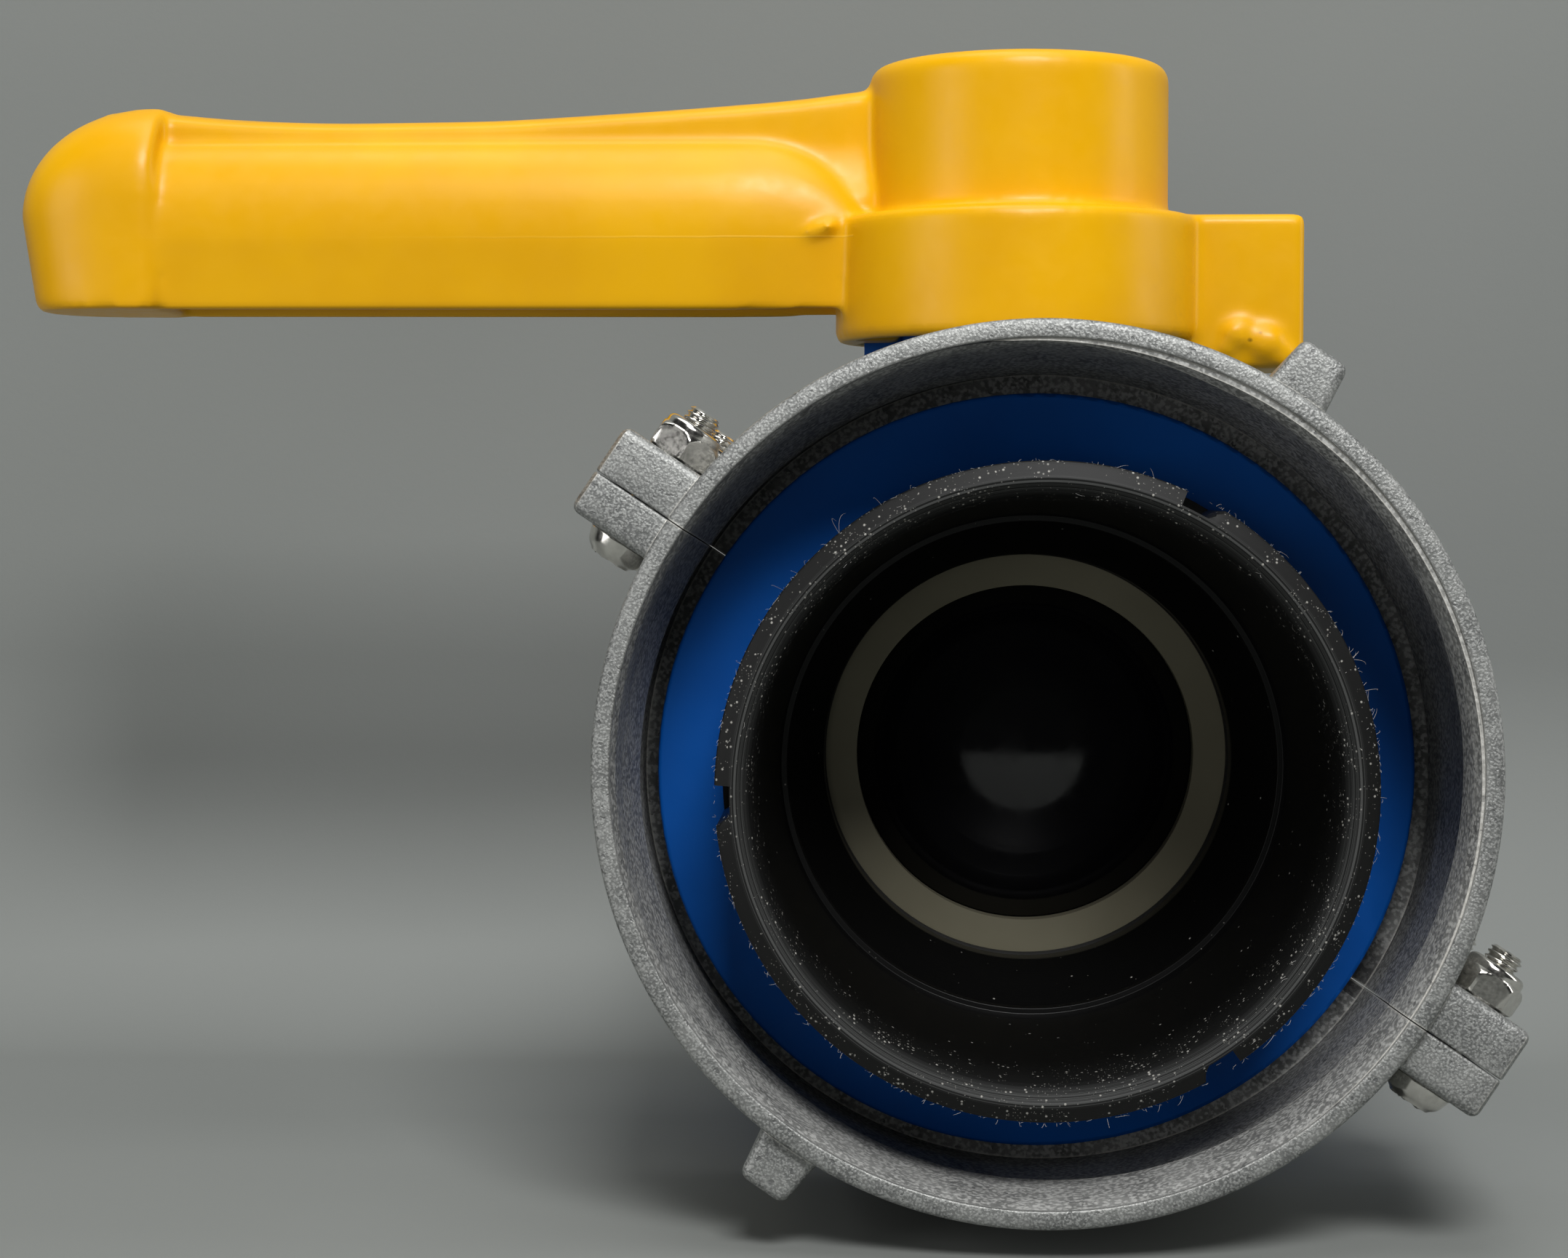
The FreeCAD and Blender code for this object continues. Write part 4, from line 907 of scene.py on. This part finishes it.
GATE_LUMPS = [((39.0, -10.6, 64.6), (3.2, 1.8, 3.0), 1), ((35.0, -10.6, 65.6), (2.6, 1.6, 2.2), 2),
              ((41.6, -10.4, 62.6), (2.2, 1.6, 2.0), 3), ((33.2, -10.4, 63.8), (1.8, 1.2, 1.5), 5),
              ((-31.5, -11.9, 83.2), (1.7, 1.0, 0.9), 6), ((-33.3, -11.9, 82.4), (1.3, 0.8, 0.8), 8)]
handle_shells = [hub_shell(), grip_shell(), spine_shell(), bulb_shell(), block_shell(), key_shell()]
handle_shells += rib_shells() + [lump(*gate) for gate in GATE_LUMPS]
handle = make("handle_moulding", [moved(s, RAISED) for s in handle_shells], yellow_plastic, "lever",
              ["handle"], crease=180)
remesh = handle.modifiers.new("one skin", "REMESH")
remesh.mode = "VOXEL"
remesh.voxel_size = 0.75 * MM
remesh.use_smooth_shade = True
soften = handle.modifiers.new("moulded blends", "SMOOTH")
soften.factor = 0.5
soften.iterations = 7


# ---------------------------------------------------------------- floor, light and camera
def studio():
    """Seamless sweep: a level floor that bends up into a wall close behind. It is seen only from
    its front, so that it doesn't hide the object from behind or below."""
    turn = np.linspace(0, math.pi / 2, 32)
    bend, wall = 0.07, 0.112
    line = [(-2.2, 0.0), (wall - bend, 0.0)]
    line += list(zip(wall - bend + bend * np.sin(turn), bend * (1 - np.cos(turn)))) + [(wall, 2.2)]
    line = np.array(line)
    grid = np.stack([np.stack([np.full(len(line), x), line[:, 0], line[:, 1]], 1) for x in (-2.5, 2.5)])
    index = np.arange(2 * len(line)).reshape(2, -1)
    quads = np.stack([index[0, :-1], index[1, :-1], index[1, 1:], index[0, 1:]], 1)
    mesh = bpy.data.meshes.new("sweep")
    mesh.from_pydata(grid.reshape(-1, 3), [], quads)
    mesh.shade_smooth()
    sweep = bpy.data.objects.new("sweep", mesh)
    bpy.context.collection.objects.link(sweep)
    material, tree, shader, place = finish_of("paper_sweep")
    tone = ramp(tree, noise(tree, place, 0.006, 2.0), 0.3, 0.7)
    feed(tree, shader, Base_Color=blend(tree, tone, (0.208, 0.219, 0.208, 1), (0.224, 0.235, 0.224, 1)))
    shader.inputs["Roughness"].default_value = 0.85
    bump(tree, shader, use(tree, FINE_GRAIN, Place=place, Per_mm=0.8)["Height"], 0.02)
    back = tree.nodes.new("ShaderNodeNewGeometry").outputs["Backfacing"]
    clear = tree.nodes.new("ShaderNodeBsdfTransparent").outputs[0]
    one_sided = add(tree, "MixShader", {0: back, 1: shader.outputs[0], 2: clear})
    tree.links.new(one_sided.outputs[0], tree.nodes["Material Output"].inputs["Surface"])
    mesh.materials.append(material)


def soft_light(name, place, aim, size, power, mirrored=True):
    """Area light aimed at a point; unless mirrored, gloss doesn't show it."""
    lamp = bpy.data.lights.new(name, "AREA")
    lamp.shape = "RECTANGLE"
    lamp.size, lamp.size_y = size
    lamp.energy = power
    holder = bpy.data.objects.new(name, lamp)
    bpy.context.collection.objects.link(holder)
    holder.location = place
    holder.rotation_euler = (Vector(aim) - Vector(place)).to_track_quat("-Z", "Y").to_euler()
    holder.visible_glossy = mirrored


studio()
soft_light("front_box", (0.15, -0.86, 0.93), (0.0, 0.0, 0.08), (0.45, 0.35), 11.8)
soft_light("top_box", (-0.05, -0.05, 0.95), (0.0, -0.02, 0.0), (0.8, 0.5), 4.5)
soft_light("right_box", (0.9, -0.1, 0.35), (0.0, 0.0, 0.1), (0.25, 0.6), 1.5)
soft_light("left_box", (-0.8, -0.55, 0.28), (0.0, 0.0, 0.08), (0.4, 0.5), 1.8)
soft_light("front_fill", (-0.30, -1.1, 0.16), (0.0, 0.0, 0.07), (0.5, 0.3), 0.7, mirrored=False)

world = bpy.data.worlds.new("dim_room")
world.use_nodes = True
world.node_tree.nodes["Background"].inputs["Color"].default_value = (0.6, 0.62, 0.62, 1)
world.node_tree.nodes["Background"].inputs["Strength"].default_value = 0.035
bpy.context.scene.world = world

CAMERA_FROM_RIM = Vector((-0.02198, -0.38767, 0.04099))
CAMERA_DOWN, CAMERA_LEFT = (math.radians(angle) for angle in (2.763, 1.99))
rim_centre = Vector((0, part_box("nose_tube")[0].y, axis_height * MM))
camera_data = bpy.data.cameras.new("camera")
camera_data.sensor_width = 36.0
camera_data.lens = 66.12
camera_data.clip_start = 0.02
camera = bpy.data.objects.new("camera", camera_data)
bpy.context.collection.objects.link(camera)
camera.location = rim_centre + CAMERA_FROM_RIM
camera.rotation_euler = (math.pi / 2 - CAMERA_DOWN, 0, CAMERA_LEFT)
bpy.context.scene.camera = camera
bpy.context.scene.view_settings.view_transform = "Standard"
